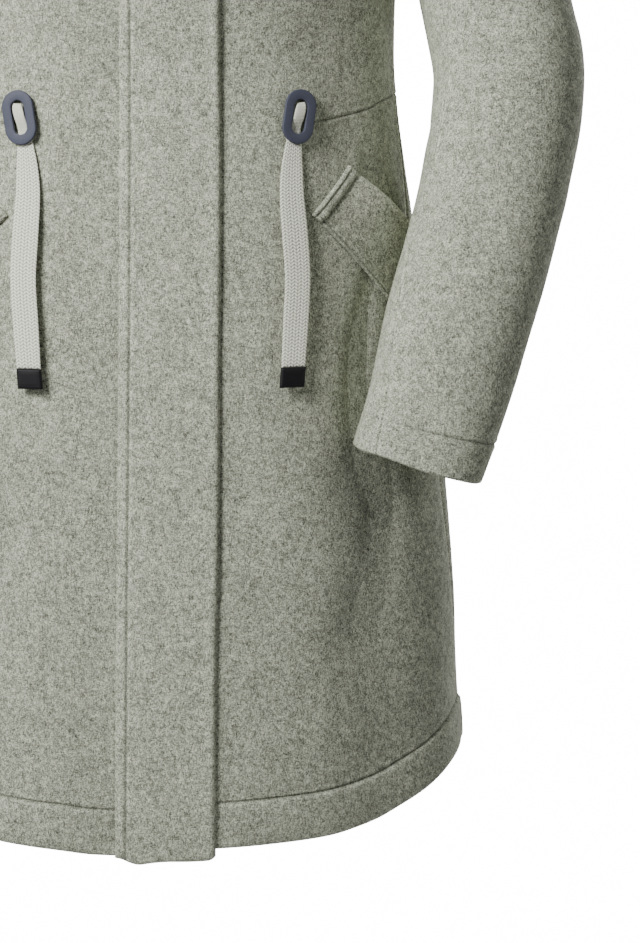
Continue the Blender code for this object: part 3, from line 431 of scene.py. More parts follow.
def curve(keys, values, at):
    """Smooth values at places along rising or falling keys."""
    keys = np.array(keys, float)
    values = np.array(values, float)
    if keys[0] > keys[-1]:
        keys = keys[::-1]
        values = values[::-1]
    slopes = np.empty_like(values)
    slopes[1:-1] = (values[2:] - values[:-2]) / (keys[2:] - keys[:-2])
    slopes[0] = (values[1] - values[0]) / (keys[1] - keys[0])
    slopes[-1] = (values[-1] - values[-2]) / (keys[-1] - keys[-2])
    at = np.clip(at, keys[0], keys[-1])
    cell = np.clip(np.searchsorted(keys, at, side="right") - 1, 0, len(keys) - 2)
    span = keys[cell + 1] - keys[cell]
    t = (at - keys[cell]) / span
    rise = values[cell + 1] - values[cell]
    start = slopes[cell] * span
    end = slopes[cell + 1] * span
    return values[cell] + start * t + (3 * rise - 2 * start - end) * t**2 + (start + end - 2 * rise) * t**3


def read(table, key, column, at):
    return curve(table[key], table[column], at)


def smooth_step(low, high, at):
    t = np.clip((at - low) / (high - low), 0.0, 1.0)
    return t * t * (3 - 2 * t)


def stations(length, step, marks=(), kept=()):
    """Places from 0 to a length, a step apart, and closer together round each mark."""
    places = np.linspace(0.0, length, max(int(round(length / step)), 1) + 1)
    for mark in marks:
        places = places[np.abs(places - mark) > NEAR_MARK[-1] + 0.8]
        near = [mark] + [mark + side * reach for reach in NEAR_MARK for side in (-1, 1)]
        places = np.concatenate((places, near))
    for spot in kept:
        places = np.concatenate((places[np.abs(places - spot) > 0.6], (spot,)))
    return np.unique(places[(places >= 0.0) & (places <= length)])


def bell(away, width):
    """1 in the middle, fading smoothly on both sides."""
    return np.exp(-((away / width) ** 2))


def beside(away, reach):
    """1 at an edge, fading with the distance from it."""
    return np.exp(-away / reach)


def groove(distance, kind):
    """A sewn line pressed into the felt, with a soft lip on each side."""
    depth, width, lip = GROOVES[kind]
    pressed = -depth * bell(distance, width)
    return pressed + lip * bell(np.abs(distance) - LIP_AWAY * width, LIP_SPREAD * width)


def creases(table, turn, z, turn_width):
    """Soft troughs and ridges along short lines that fade at both ends."""
    push = np.zeros_like(z)
    round_way = 360.0 * turn_width
    for row in range(len(table["out"])):
        start = np.array((table["turn_a"][row] * turn_width, table["z_a"][row]))
        end = np.array((table["turn_b"][row] * turn_width, table["z_b"][row]))
        way = end - start
        if abs(way[0]) > round_way / 2:
            way[0] -= math.copysign(round_way, way[0])
        x = (turn * turn_width - start[0] + round_way / 2) % round_way - round_way / 2
        y = z - start[1]
        length = np.linalg.norm(way)
        along = np.clip((x * way[0] + y * way[1]) / (way @ way), 0.0, 1.0)
        arch = np.sin(math.pi * along)
        bow = CREASE_BOW * arch * (1.0 if row % 2 else -1.0)
        away = (x * way[1] - y * way[0]) / length + bow * length
        width = table["width"][row] * (CREASE_WIDTHS[0] + CREASE_WIDTHS[1] * along)
        push += table["out"][row] * arch**CREASE_TAPER * bell(away, width)
    return push


def wave_set(seed, count, shortest, longest):
    """Directions, phases and weights of gentle waves that keep the felt from lying perfectly even."""
    rng = np.random.default_rng(seed)
    lengths = np.exp(rng.uniform(math.log(shortest), math.log(longest), count))
    ways = unit(rng.normal(size=(count, 3))) * (2 * math.pi / lengths)[:, None]
    return ways, rng.uniform(0.0, 2 * math.pi, count), lengths / lengths.max()


def uneven(points, waves):
    ways, phases, weights = waves
    return np.sin(points @ ways.T + phases) @ weights / math.sqrt(len(weights))


BROAD_WAVES = wave_set(11, 14, 70.0, 190.0)
FINE_WAVES = wave_set(23, 16, 16.0, 42.0)


def waviness(points, kind, pucker=0.0, broad_waves=BROAD_WAVES):
    """How uneven the felt lies, more so where sewing puckers it."""
    broad, fine, puckered, _ = UNEVEN[kind]
    return broad * uneven(points, broad_waves) + (fine + puckered * pucker) * uneven(points, FINE_WAVES)


def calm_beside(away, kind):
    """0 at a seam, rising to 1 away from it."""
    return 1 - beside(away, UNEVEN[kind][3])


def seam_painted_shading(sewn):
    """The painted shading that follows a sewn line's relief: painted shade in its groove, painted highlight
    on its lips.
    """
    return np.clip(sewn / STITCH_DEPTH, -1.0, 1.0)


def turned_up(extra, depth, rise):
    """The wall's thickness, greater below the stitched line where the cloth is turned up."""
    return WALL + extra * (1 - smooth_step(depth - 1.0, depth + 1.0, rise))


# The body's surfaces

def soft_power(value, power):
    return np.sign(value) * np.abs(value) ** power


def ring_xy(turn, half_width, front, back):
    """Points of a rounded ring."""
    angle = np.radians(turn)
    across = soft_power(np.sin(angle), 2 / ROUNDNESS)
    along = soft_power(np.cos(angle), 2 / ROUNDNESS)
    reach = np.where(along > 0, front, back)
    return half_width * across, BODY_CENTRE_Y - reach * along


def fold_out(turn, z):
    """How far the soft folds push the cloth outward."""
    push = np.zeros(np.broadcast(turn, z).shape)
    for fold in range(len(FOLDS["turn"])):
        away = np.abs((turn - FOLDS["turn"][fold] + 180.0) % 360.0 - 180.0) / FOLDS["spread"][fold]
        swell = smooth_step(0.0, 1.0, (FOLDS["top"][fold] - z) / (FOLDS["top"][fold] - FOLDS["foot"][fold]))
        push += FOLDS["out"][fold] * swell * (0.5 + 0.5 * np.cos(math.pi * np.minimum(away, 2.0) / 2.0))
    return push


def skirt_point(turn, z):
    """The cloth's outer face from the underarm down."""
    half_width, front, back = (read(LEVELS, "z", name, z) for name in ("half_width", "front", "back"))
    x, y = ring_xy(turn, half_width, front, back)
    outward = unit(np.stack((x / half_width**2, (y - BODY_CENTRE_Y) / front**2), axis=-1))
    push = fold_out(turn, z)
    return np.stack((x + outward[..., 0] * push, y + outward[..., 1] * push, z + 0 * x), axis=-1)


def yoke_half_width(rise):
    return UNDERARM_X + (SHOULDER_TIP_X - UNDERARM_X) * rise


def yoke_point(turn, rise):
    """The cloth's outer face from the underarm, rise 0, to the shoulder line, rise 1."""
    half_width = yoke_half_width(rise)
    room = np.maximum(1.0 - rise * rise, 0.0)
    x, y = ring_xy(turn, half_width, UNDERARM_FRONT * room**FRONT_CLOSE, UNDERARM_BACK * room**BACK_CLOSE)
    z = UNDERARM_Z + (PEAK_Z - UNDERARM_Z) * rise - SHOULDER_DROP * rise * rise * np.abs(x) / half_width
    return np.stack((x, y, z), axis=-1)


def turn_at(share):
    """The turn at which a ring reaches a share of its half width."""
    return np.degrees(np.arcsin(np.minimum(share, 1.0) ** (ROUNDNESS / 2)))


def hem_z(turn):
    """The hem's height, which rises towards the side seams in front and behind."""
    away = np.abs(turn)
    drop = (np.asarray(turn) < 0) * read(LINES, "turn", "right_drop", away)
    front = read(LINES, "turn", "hem", away) - drop
    back = HEM_FRONT_Z + HEM_SIDE_RISE * (np.clip(180.0 - away, 0.0, 90.0) / 90.0) ** HEM_CURVE
    return np.where(away < 90.0, front, back)


def waist_z(turn):
    return read(LINES, "turn", "waist", np.abs(turn))


def seam_turn(z):
    return 90.0 - read(LEVELS, "z", "seam_lead", z)


def front_point(x, z):
    """The front's outer face at distances from the centre line and heights."""
    low = skirt_point(np.sign(x) * turn_at(np.abs(x) / read(LEVELS, "z", "half_width", z)), z)
    rise = (z - UNDERARM_Z) / (PEAK_Z - UNDERARM_Z)
    for _ in range(6):
        share = np.abs(x) / yoke_half_width(rise)
        rise = (z - UNDERARM_Z + SHOULDER_DROP * rise * rise * share) / (PEAK_Z - UNDERARM_Z)
        rise = np.clip(rise, 0.0, 1.0)
    high = yoke_point(np.sign(x) * turn_at(np.abs(x) / yoke_half_width(rise)), rise)
    return np.where((z < UNDERARM_Z)[..., None], low, high)


def front_normal(x, z):
    across = front_point(x + 1.0, z) - front_point(x - 1.0, z)
    up = front_point(x, z + 1.0) - front_point(x, z - 1.0)
    return unit(np.cross(across, up))


# Meshes

def grid_quads(numbers):
    """Quads between neighbouring vertex numbers of a grid."""
    corners = (numbers[:-1, :-1], numbers[:-1, 1:], numbers[1:, 1:], numbers[1:, :-1])
    return np.stack(corners, axis=-1).reshape(-1, 4)


def numbered_quads(shape):
    """Quads of a grid whose points are numbered row by row."""
    return grid_quads(np.arange(shape[0] * shape[1]).reshape(shape))


def point_normals(points, quads):
    """Outward normals at the points of a mesh of quads."""
    corner = points[quads]
    flat = np.cross(corner[:, 2] - corner[:, 0], corner[:, 3] - corner[:, 1])
    normals = np.zeros_like(points)
    for spot in range(4):
        np.add.at(normals, quads[:, spot], flat)
    return unit(normals + 1e-12)


def lengths_from_start(points, axis):
    """Distance of each grid point from the grid's first row or column, along the cloth."""
    steps = np.linalg.norm(np.diff(points, axis=axis), axis=-1)
    start = np.zeros_like(np.take(steps, [0], axis=axis))
    return np.concatenate((start, np.cumsum(steps, axis=axis)), axis=axis)


def lengths_from_end(points, axis):
    return np.flip(lengths_from_start(np.flip(points, axis=axis), axis), axis=axis)


def make_object(name, points, faces, material, painted_shading=None, smooth=True):
    mesh = bpy.data.meshes.new(name)
    mesh.from_pydata((np.asarray(points) * MM).tolist(), [], [list(face) for face in faces])
    mesh.validate()
    if smooth:
        mesh.shade_smooth()
    mesh.materials.append(material)
    # The painted_shading attribute carries painted shade and painted highlight for the material's colour.
    if painted_shading is not None:
        layer = mesh.attributes.new("painted_shading", "FLOAT", "POINT")
        layer.data.foreach_set("value", np.asarray(painted_shading, float))
    made = bpy.data.objects.new(name, mesh)
    bpy.context.scene.collection.objects.link(made)
    return made


def facing_out(points, quads, normals):
    """The quads, turned over where they face against the normals."""
    corner = points[quads]
    flat = np.cross(corner[:, 2] - corner[:, 0], corner[:, 3] - corner[:, 1])
    return quads[:, ::-1] if np.sum(flat * normals[quads[:, 0]]) < 0 else quads


def grid_normals(points, middle):
    """Normals of a grid of points, facing away from what lies inside."""
    flat = points.reshape(-1, 3)
    quads = facing_out(flat, numbered_quads(points.shape[:2]), flat - middle)
    return point_normals(flat, quads).reshape(points.shape)


def wall(name, points, quads, normals, outs, thick, material, painted_shading, rounding):
    """A closed felt wall: relief on its outer skin, a plain inner skin and a rounded rim between them.

    The rim bulges along the cloth by each point's own rounding, which is 0 at a sewn edge.
    """
    outer = points + normals * outs[:, None]
    inner = points - normals * thick[:, None]
    edges = np.concatenate([quads[:, [spot, (spot + 1) % 4]] for spot in range(4)])
    key = np.sort(edges, axis=1)
    _, first, counts = np.unique(key, axis=0, return_index=True, return_counts=True)
    rim = edges[first[counts == 1]]
    away = np.zeros_like(points)
    side = np.cross(points[rim[:, 1]] - points[rim[:, 0]], normals[rim[:, 0]])
    for spot in range(2):
        np.add.at(away, rim[:, spot], side)
    on_rim = np.unique(rim)
    place = np.zeros(len(points), int)
    place[on_rim] = np.arange(len(on_rim))
    middle = (outer[on_rim] + inner[on_rim]) / 2 + unit(away[on_rim]) * rounding[on_rim, None]
    count = len(points)
    faces = [quads, quads[:, ::-1] + count]
    start, end = rim[:, 0], rim[:, 1]
    middle_start = place[start] + 2 * count
    middle_end = place[end] + 2 * count
    faces.append(np.stack((end, start, middle_start, middle_end), axis=1))
    faces.append(np.stack((middle_end, middle_start, start + count, end + count), axis=1))
    whole = np.concatenate((outer, inner, middle))
    # Painted shading: none on the inner skin, half on the rim.
    painted_shadings = np.concatenate((painted_shading, np.zeros(count), painted_shading[on_rim] * 0.5))
    return make_object(name, whole, np.concatenate(faces).tolist(), material, painted_shadings)


def panel(name, points, normals, outs, thick, painted_shading, rounding, material):
    """A felt wall on a grid of points; each field is a grid of its own or one number."""
    shape = points.shape[:2]
    flat, facing = points.reshape(-1, 3), normals.reshape(-1, 3)
    fields = (outs, thick, painted_shading, rounding)
    outs, thick, painted_shading, rounding = (np.broadcast_to(field, shape).ravel() for field in fields)
    quads = facing_out(flat, numbered_quads(shape), facing)
    return wall(name, flat, quads, facing, outs, thick, material, painted_shading, rounding)


def closed_grid(points, both_ways):
    """A grid joined round its second axis, and also round its first if both ways, facing outward."""
    rows, columns = points.shape[:2]
    numbers = np.arange(rows * columns).reshape(rows, columns)
    numbers = np.concatenate((numbers, numbers[:, :1]), axis=1)
    if both_ways:
        numbers = np.concatenate((numbers, numbers[:1]))
    flat = points.reshape(-1, 3)
    quads = grid_quads(numbers)
    corner = flat[quads] - flat.mean(axis=0)
    turned = np.cross(corner[:, 2] - corner[:, 0], corner[:, 3] - corner[:, 1])
    volume = np.sum(turned * corner.mean(axis=1))
    return flat, quads if volume > 0 else quads[:, ::-1]


def end_caps(quads, columns, rows):
    """Faces that close both ends of a tube made by closed_grid."""
    first = list(range(columns))
    last = [(rows - 1) * columns + spot for spot in range(columns)]
    start, end = quads[0].tolist()[:2]
    forward = (end - start) == 1
    return [first[::-1], last] if forward else [first, last[::-1]]


def adopt(piece, slot, *nodes):
    """Sets a piece on the coat's one body, in place of the solids that it stands for."""
    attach(piece, "root")
    if nodes:
        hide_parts(*nodes)


def adopt_cut(piece, slot, stands_for):
    """Adopts a cut piece in place of the solid that it stands for."""
    adopt(piece, slot, stands_for)


# Materials

def new_material(name):
    """A material, its tree, its shader and its place in object space."""
    material = bpy.data.materials.new(name)
    material.use_nodes = True
    tree = material.node_tree
    return material, tree, tree.nodes["Principled BSDF"], node(tree, "ShaderNodeTexCoord").outputs["Object"]


def set_values(shader, values):
    for name, value in values.items():
        shader.inputs[name].default_value = value


def set_bump(tree, shader, height, strength, distance):
    bump = node(tree, "ShaderNodeBump", {"Strength": strength, "Distance": distance})
    tree.links.new(height, bump.inputs["Height"])
    tree.links.new(bump.outputs["Normal"], shader.inputs["Normal"])


def painted_shading_of(tree):
    return node(tree, "ShaderNodeAttribute", attribute_name="painted_shading").outputs["Fac"]


def node(tree, kind, values=None, **settings):
    made = tree.nodes.new(kind)
    for name, value in settings.items():
        setattr(made, name, value)
    for name, value in (values or {}).items():
        made.inputs[name].default_value = value
    return made


def noise(tree, spot, scale, detail, roughness, stretch=(1.0, 1.0, 1.0), turn=(0.0, 0.0, 0.0)):
    """Noise in object space, stretched along one way."""
    mapping = node(tree, "ShaderNodeMapping", {"Scale": stretch, "Rotation": turn})
    texture = node(tree, "ShaderNodeTexNoise", {"Scale": scale, "Detail": detail, "Roughness": roughness})
    tree.links.new(spot, mapping.inputs["Vector"])
    tree.links.new(mapping.outputs["Vector"], texture.inputs["Vector"])
    return texture.outputs["Fac"]


def math_node(tree, operation, *values, clamp=False):
    made = node(tree, "ShaderNodeMath", operation=operation, use_clamp=clamp)
    for place, value in enumerate(values):
        if isinstance(value, bpy.types.NodeSocket):
            tree.links.new(value, made.inputs[place])
        else:
            made.inputs[place].default_value = value
    return made.outputs[0]


def ramp(tree, value, stops):
    """A colour ramp from pairs of place and colour."""
    made = node(tree, "ShaderNodeValToRGB")
    elements = made.color_ramp.elements
    while len(elements) < len(stops):
        elements.new(0.5)
    for element, (place, colour) in zip(elements, stops):
        element.position = place
        element.color = (*colour, 1.0)
    tree.links.new(value, made.inputs["Fac"])
    return made.outputs["Color"]


def mix_colour(tree, blend, share, first, second):
    made = node(tree, "ShaderNodeMix", data_type="RGBA", blend_type=blend)
    for name, value in (("Factor", share), ("A", first), ("B", second)):
        socket = [item for item in made.inputs if item.name == name and item.enabled][0]
        if isinstance(value, bpy.types.NodeSocket):
            tree.links.new(value, socket)
        else:
            socket.default_value = value
    return [item for item in made.outputs if item.enabled][0]


def felt_material(name, fibres):
    """Melange wool felt: mixed light and dark fibres, cloudy patches, and painted shade and painted highlight
    that follow the seams' relief.
    """
    material, tree, shader, spot = new_material(name)
    grain = noise(tree, spot, 1250.0, 3.0, 0.72)
    strands = [noise(tree, spot, scale, 2.0, 0.55, stretch, turn) for scale, stretch, turn in FELT_STRANDS]
    tuft = noise(tree, spot, 190.0, 3.0, 0.6)
    cloud = noise(tree, spot, 34.0, 3.0, 0.55)
    strands = math_node(tree, "ADD", math_node(tree, "ADD", strands[0], strands[1]), strands[2])
    mixed = math_node(tree, "MULTIPLY_ADD", strands, 0.15, math_node(tree, "MULTIPLY", grain, 0.41))
    mixed = math_node(tree, "MULTIPLY_ADD", tuft, 0.14, mixed)
    colour = ramp(tree, mixed, tuple(zip(FELT_STOPS, fibres)))
    patch = ramp(tree, cloud, ((0.32, (0.93, 0.93, 0.93)), (0.68, (1.06, 1.06, 1.06))))
    colour = mix_colour(tree, "MULTIPLY", 1.0, colour, patch)
    # Painted shade: the colour darkens in sewn grooves. Painted highlight: it lightens on their lips and on
    # ridges, taken from the painted_shading attribute.
    lift = math_node(tree, "MULTIPLY_ADD", painted_shading_of(tree), 0.5, 0.5)
    painted_tone = ramp(tree, lift, ((0.0, (0.44, 0.44, 0.44)), (0.5, (1.0, 1.0, 1.0)), (1.0, (1.3, 1.3, 1.3))))
    colour = mix_colour(tree, "MULTIPLY", 1.0, colour, painted_tone)
    tree.links.new(colour, shader.inputs["Base Color"])
    fuzz = noise(tree, spot, 2000.0, 2.0, 0.6)
    relief = math_node(tree, "MULTIPLY_ADD", fuzz, 0.55, math_node(tree, "MULTIPLY", mixed, 1.2))
    set_bump(tree, shader, relief, 0.6, 0.0009)
    set_values(shader, {"Roughness": 0.95, "Specular IOR Level": 0.12, "Sheen Weight": 0.12,
                        "Sheen Roughness": 0.45, "Sheen Tint": (0.79, 0.82, 0.68, 1.0)})
    return material


def plain_material(name, colour, spread, roughness, scale, bump_height, specular):
    """A solid colour with fine mottling, uneven gloss and a slight grain."""
    material, tree, shader, spot = new_material(name)
    grain = noise(tree, spot, scale, 4.0, 0.6)
    low = tuple(value * (1 - spread) for value in colour)
    high = tuple(value * (1 + spread) for value in colour)
    tree.links.new(ramp(tree, grain, ((0.3, low), (0.7, high))), shader.inputs["Base Color"])
    worn = noise(tree, spot, scale * 0.12, 3.0, 0.6)
    gloss = math_node(tree, "MULTIPLY_ADD", worn, 0.22, roughness - 0.11)
    tree.links.new(gloss, shader.inputs["Roughness"])
    set_bump(tree, shader, grain, 0.4, bump_height * MM)
    set_values(shader, {"Specular IOR Level": specular})
    return material


def knit_material(name, dark, light):
    """Cotton knit: light strands with painted shade darkening the furrows between them, and a little fluff.
    """
    material, tree, shader, spot = new_material(name)
    fluff = noise(tree, spot, 1500.0, 3.0, 0.6)
    painted_tone = math_node(tree, "MULTIPLY", painted_shading_of(tree), 0.8)
    # Painted shade: the lower the strands, the darker the colour.
    depth = math_node(tree, "ADD", painted_tone, math_node(tree, "MULTIPLY", fluff, 0.35))
    tree.links.new(ramp(tree, depth, ((0.15, dark), (0.70, light))), shader.inputs["Base Color"])
    set_bump(tree, shader, fluff, 0.4, 0.0003)
    set_values(shader, {"Roughness": 0.9, "Specular IOR Level": 0.15, "Sheen Weight": 0.15,
                        "Sheen Roughness": 0.5})
    return material


def make_materials():
    """The materials by name, which is also the slot's name where the record has one."""
    made = {name: felt_material(name, fibres) for name, fibres in FELT_FIBRES.items()}
    made.update({name: plain_material(name, *looks) for name, looks in PLAIN.items()})
    made["knit_cord"] = knit_material("knit_cord", *KNIT_COLOURS)
    return made


# The body panels

def armhole_mark(back, step):
    """The armhole's turn and rise at steps from the underarm, 0, to the shoulder tip."""
    steps = np.arange(ARMHOLE_STEPS + 1)
    turns = curve(steps, ARMHOLE["back" if back else "front"], step)
    return np.stack((turns, curve(steps, ARMHOLE["rise"], step)), axis=-1)


def neck_mark(share, neck_rise):
    """The neckline's turn and rise at shares of it, 0 at the centre and 1 at the shoulder."""
    angle = np.radians(90.0 * np.clip(share, 0.0, 1.0))
    rise = 1.0 - (1.0 - neck_rise) * np.cos(angle)
    return np.stack((turn_at(NECK_X * np.sin(angle) / yoke_half_width(rise)), rise), axis=-1)


def centre_mark(step, neck_step, neck_rise):
    """A yoke's inner side: up the centre line, then along the neckline to the shoulder."""
    line = np.stack((0.0 * step, neck_rise * step / neck_step), axis=-1)
    neck = neck_mark((step - neck_step) / (ARMHOLE_STEPS - neck_step), neck_rise)
    return np.where((step < neck_step)[..., None], line, neck)


def yoke_marks(back, shares, steps):
    """A grid of turn and rise between underarm line, centre and neckline, armhole and shoulder."""
    neck_step = BACK_NECK_STEP if back else FRONT_NECK_STEP
    neck_rise = BACK_NECK_RISE if back else FRONT_NECK_RISE
    v = (steps / ARMHOLE_STEPS)[:, None, None]
    u = shares[None, :, None]
    centre = centre_mark(steps, neck_step, neck_rise)[:, None]
    armhole = armhole_mark(back, steps)[:, None]
    foot, tip = armhole_mark(back, np.array((0.0, ARMHOLE_STEPS)))
    neck_top = neck_mark(np.array(1.0), neck_rise)
    bottom = np.stack((foot[0] * shares, 0.0 * shares), axis=-1)[None]
    x = NECK_X + (SHOULDER_TIP_X - NECK_X) * shares
    top = np.stack((turn_at(x / SHOULDER_TIP_X), 1.0 + 0.0 * x), axis=-1)[None]
    corners = (1 - u) * v * neck_top + u * (1 - v) * foot + u * v * tip
    return (1 - v) * bottom + v * top + (1 - u) * centre + u * armhole - corners


HEM_HEIGHTS = np.array((HEM_FRONT_Z, HEM_FRONT_Z + HEM_DEPTH, WAIST_FRONT_Z, UNDERARM_Z)) - HEM_FRONT_Z
HEM_ROWS = stations(HEM_HEIGHTS[-1], CELL, (0.0, HEM_HEIGHTS[1], HEM_HEIGHTS[2]))
BODY_MIDDLE = np.array((0.0, BODY_CENTRE_Y, -500.0))


def half_body(back, hand):
    """A half panel's fine grid of points, its turns and its distances from seams and neckline."""
    def place(turn):
        return hand * (180.0 - turn if back else turn)

    neck_step = BACK_NECK_STEP if back else FRONT_NECK_STEP
    shares = stations(HALF_GIRTH, CELL, (HALF_GIRTH,)) / HALF_GIRTH
    heights, rows = HEM_HEIGHTS, HEM_ROWS
    cell = np.clip(np.searchsorted(heights, rows, side="right") - 1, 0, 2)
    part = ((rows - heights[cell]) / (heights[cell + 1] - heights[cell]))[:, None]
    spot = np.arange(len(rows))
    turn = place(90.0 * shares)[None] + 0.0 * rows[:, None]
    for _ in range(6):
        marks = np.stack((hem_z(turn), hem_z(turn) + HEM_DEPTH, waist_z(turn), UNDERARM_Z + 0.0 * turn))
        z = marks[cell, spot] * (1 - part) + marks[cell + 1, spot] * part
        edge = seam_turn(z)
        turn = place((180.0 - edge if back else edge) * shares)
    low = skirt_point(turn, z)
    step_length = YOKE_LENGTH / ARMHOLE_STEPS
    steps = stations(YOKE_LENGTH, CELL, (YOKE_LENGTH,), (neck_step * step_length,)) / step_length
    upper = yoke_marks(back, shares, steps[1:])
    high = yoke_point(place(upper[..., 0]), upper[..., 1])
    points = np.concatenate((low, high))
    turns = np.concatenate((turn, place(upper[..., 0])))
    first_neck = len(rows) + int(np.searchsorted(steps[1:], neck_step - 1e-6))
    neck = lengths_from_start(points, 1)
    neck[:first_neck] = FAR
    return {
        "points": points,
        "turn": turns,
        "side": lengths_from_end(points, 1),
        "top": lengths_from_end(points, 0),
        "neck": neck,
        "first_neck": first_neck,
    }


def body_relief(grid, back):
    """The half panel's outward relief, the painted shade and highlight that follow it, and the wall's
    thickness.
    """
    points, turn, side = grid["points"], grid["turn"], grid["side"]
    z = points[..., 2]
    above = z - hem_z(turn)
    swell = HEM_SWELL * np.clip(np.abs(turn) / BAND_SIDE_TURN - 1.0, 0.0, 1.0)
    inside = np.clip(above, 0.0, HEM_DEPTH)
    hem = swell * (1 - HEM_EDGE_DROP * beside(inside, HEM_EDGE_REACH))
    hem *= 1 - HEM_TOP_FALL * (inside / HEM_DEPTH) ** 2
    hem *= 1 - beside(HEM_DEPTH - inside, HEM_TOP_REACH)
    waist_share = 1.0 if back else smooth_step(*WAIST_SEAM_STARTS, np.abs(turn))
    sewn = groove(above - HEM_DEPTH, "hem")
    sewn += waist_share * groove(z - waist_z(turn), "waist")
    for seam in ("side", "top", "neck"):
        sewn += groove(grid[seam], seam)
    calm = calm_beside(np.minimum(np.minimum(side, grid["top"]), grid["neck"]), "body")
    pucker = beside(np.abs(above - HEM_DEPTH), HEM_PUCKER_REACH)
    pucker += SIDE_PUCKER * beside(side, SIDE_PUCKER_REACH)
    soft = creases(BODY_CREASES, turn, z, TURN_WIDTH) + waviness(points, "body", pucker)
    sink = SIDE_SINK * bell(side, SIDE_SINK_REACH)
    sink *= smooth_step(*SIDE_SINK_FOOT, z) * (1 - smooth_step(*SIDE_SINK_TOP, z))
    thick = turned_up(HEM_TURN_UP, HEM_DEPTH, above) + sink
    return hem + sewn + soft * calm - sink, seam_painted_shading(sewn), thick


def hem_rounding(grid):
    rounding = np.where(grid["neck"] < 0.01, ROUNDING["neck"], 0.0)
    rounding[0] = ROUNDING["hem"]
    return rounding


def hem_line(points, normals, outs, back):
    """The hem's stitched line on a half panel, clear of the front band."""
    row = int(np.argmin(np.abs(HEM_ROWS - HEM_DEPTH)))
    line = points[row] + normals[row] * outs[row, :, None]
    clear = np.abs(line[:, 0]) > (-1.0 if back else BAND_EDGES["right"][0] + HEM_STITCH_CLEAR)
    return line[clear], normals[row][clear]


def build_fronts(materials):
    for name, hand in HANDS:
        grid = half_body(False, hand)
        points = grid["points"]
        normals = grid_normals(points, BODY_MIDDLE)
        outs, painted_shading, thick = body_relief(grid, False)
        piece = panel("felt_front_" + name, points, normals, outs, thick, painted_shading, hem_rounding(grid),
                      materials["wool_felt"])
        adopt_cut(piece, "wool_felt", "front_" + name)
        line = hem_line(points, normals, outs, False)
        sew("stitches_hem_" + name, [line], materials["thread"], "wool_felt")


def build_back(materials):
    """One piece: both halves share the centre column up to the neck."""
    halves = []
    for _, hand in HANDS:
        grid = half_body(True, hand)
        fields = [field.ravel() for field in (*body_relief(grid, True), hem_rounding(grid))]
        halves.append((grid["points"].reshape(-1, 3), *fields))
    shape = grid["turn"].shape
    shared = grid["first_neck"] + 1
    left = np.arange(shape[0] * shape[1]).reshape(shape)
    right = left + left.size
    right[:shared, 0] = left[:shared, 0]
    quads = np.concatenate((grid_quads(left), grid_quads(right)[:, ::-1]))
    points, outs, painted_shading, thick, rounding = (np.concatenate(pair) for pair in zip(*halves))
    quads = facing_out(points, quads, points - BODY_MIDDLE)
    normals = point_normals(points, quads)
    lines = []
    for half in (slice(0, left.size), slice(left.size, 2 * left.size)):
        unshared = normals[half].reshape(*shape, 3)
        unshared[:shared, 0] = normals[left[:shared, 0]]
        lines.append(hem_line(points[half].reshape(*shape, 3), unshared, outs[half].reshape(shape), True))
    sew("stitches_hem_back", lines, materials["thread"], "wool_felt")
    used, quads = np.unique(quads, return_inverse=True)
    quads = quads.reshape(-1, 4)
    piece = wall("felt_back", points[used], quads, normals[used], outs[used], thick[used],
                 materials["wool_felt"], painted_shading[used], rounding[used])
    adopt_cut(piece, "wool_felt", "back")


# The sleeves

def sleeve_centre(z):
    return np.stack((read(SLEEVE, "z", "x", z), read(SLEEVE, "z", "y", z), z), axis=-1)


def sleeve_frame(z):
    """Axis down the arm, direction away from the body and direction to the front."""
    low = np.clip(z - SLEEVE_AXIS_STEP / 2, CUFF_Z, CAP_Z - SLEEVE_AXIS_STEP)
    axis = unit(sleeve_centre(low) - sleeve_centre(low + SLEEVE_AXIS_STEP))
    side = unit(np.array((1.0, 0.0, 0.0)) - axis * axis[..., :1])
    front = np.array((0.0, -1.0, 0.0)) + axis * axis[..., 1:2]
    front = unit(front - side * np.sum(front * side, axis=-1, keepdims=True))
    return axis, side, front


def sleeve_point(z, turn):
    """Points of the sleeve below its cap; turn 0 faces the body and 90 the front."""
    axis, side, front = sleeve_frame(z)
    angle = np.radians(turn)[..., None]
    across = -soft_power(np.cos(angle), 2 / ROUNDNESS) * read(SLEEVE, "z", "half_width", z)[..., None]
    along = soft_power(np.sin(angle), 2 / ROUNDNESS) * read(SLEEVE, "z", "half_depth", z)[..., None]
    near_cuff = np.clip((CUFF_DIP_TOP_Z - z) / (CUFF_DIP_TOP_Z - CUFF_Z), 0.0, 1.0)[..., None]
    dip = CUFF_DIP * near_cuff**2 * np.sin(angle)
    return sleeve_centre(z) + side * across + front * along + axis * dip


def armhole_loop():
    """The left armhole up its front and down its back, and the numbers of its two seam points."""
    step_length = YOKE_LENGTH / ARMHOLE_STEPS
    parts = []
    for back, seam_step in ((False, FRONT_SEAM_STEP), (True, BACK_SEAM_STEP)):
        steps = stations(YOKE_LENGTH, SLEEVE_CELL, (seam_step * step_length,)) / step_length
        mark = armhole_mark(back, steps)
        turn = 180.0 - mark[:, 0] if back else mark[:, 0]
        parts.append((yoke_point(turn, mark[:, 1]), int(np.argmin(np.abs(steps - seam_step)))))
    (front, front_seam), (rear, rear_seam) = parts
    loop = np.concatenate((front, rear[-2::-1]))
    return loop, front_seam, len(loop) - 1 - rear_seam


def sleeve_turns(loop, first, last, z):
    """Turns of the sleeve's columns at heights, with the two seams where the table has them."""
    length = lengths_from_start(loop, 0)
    marks_at = (length[0], length[first], length[last], length[-1])
    fronts = read(SLEEVE, "z", "front_seam", z)
    backs = 360.0 - read(SLEEVE, "z", "back_seam", z)
    rows = [np.interp(length, marks_at, (0.0, front, back, 360.0)) for front, back in zip(fronts, backs)]
    return np.array(rows)


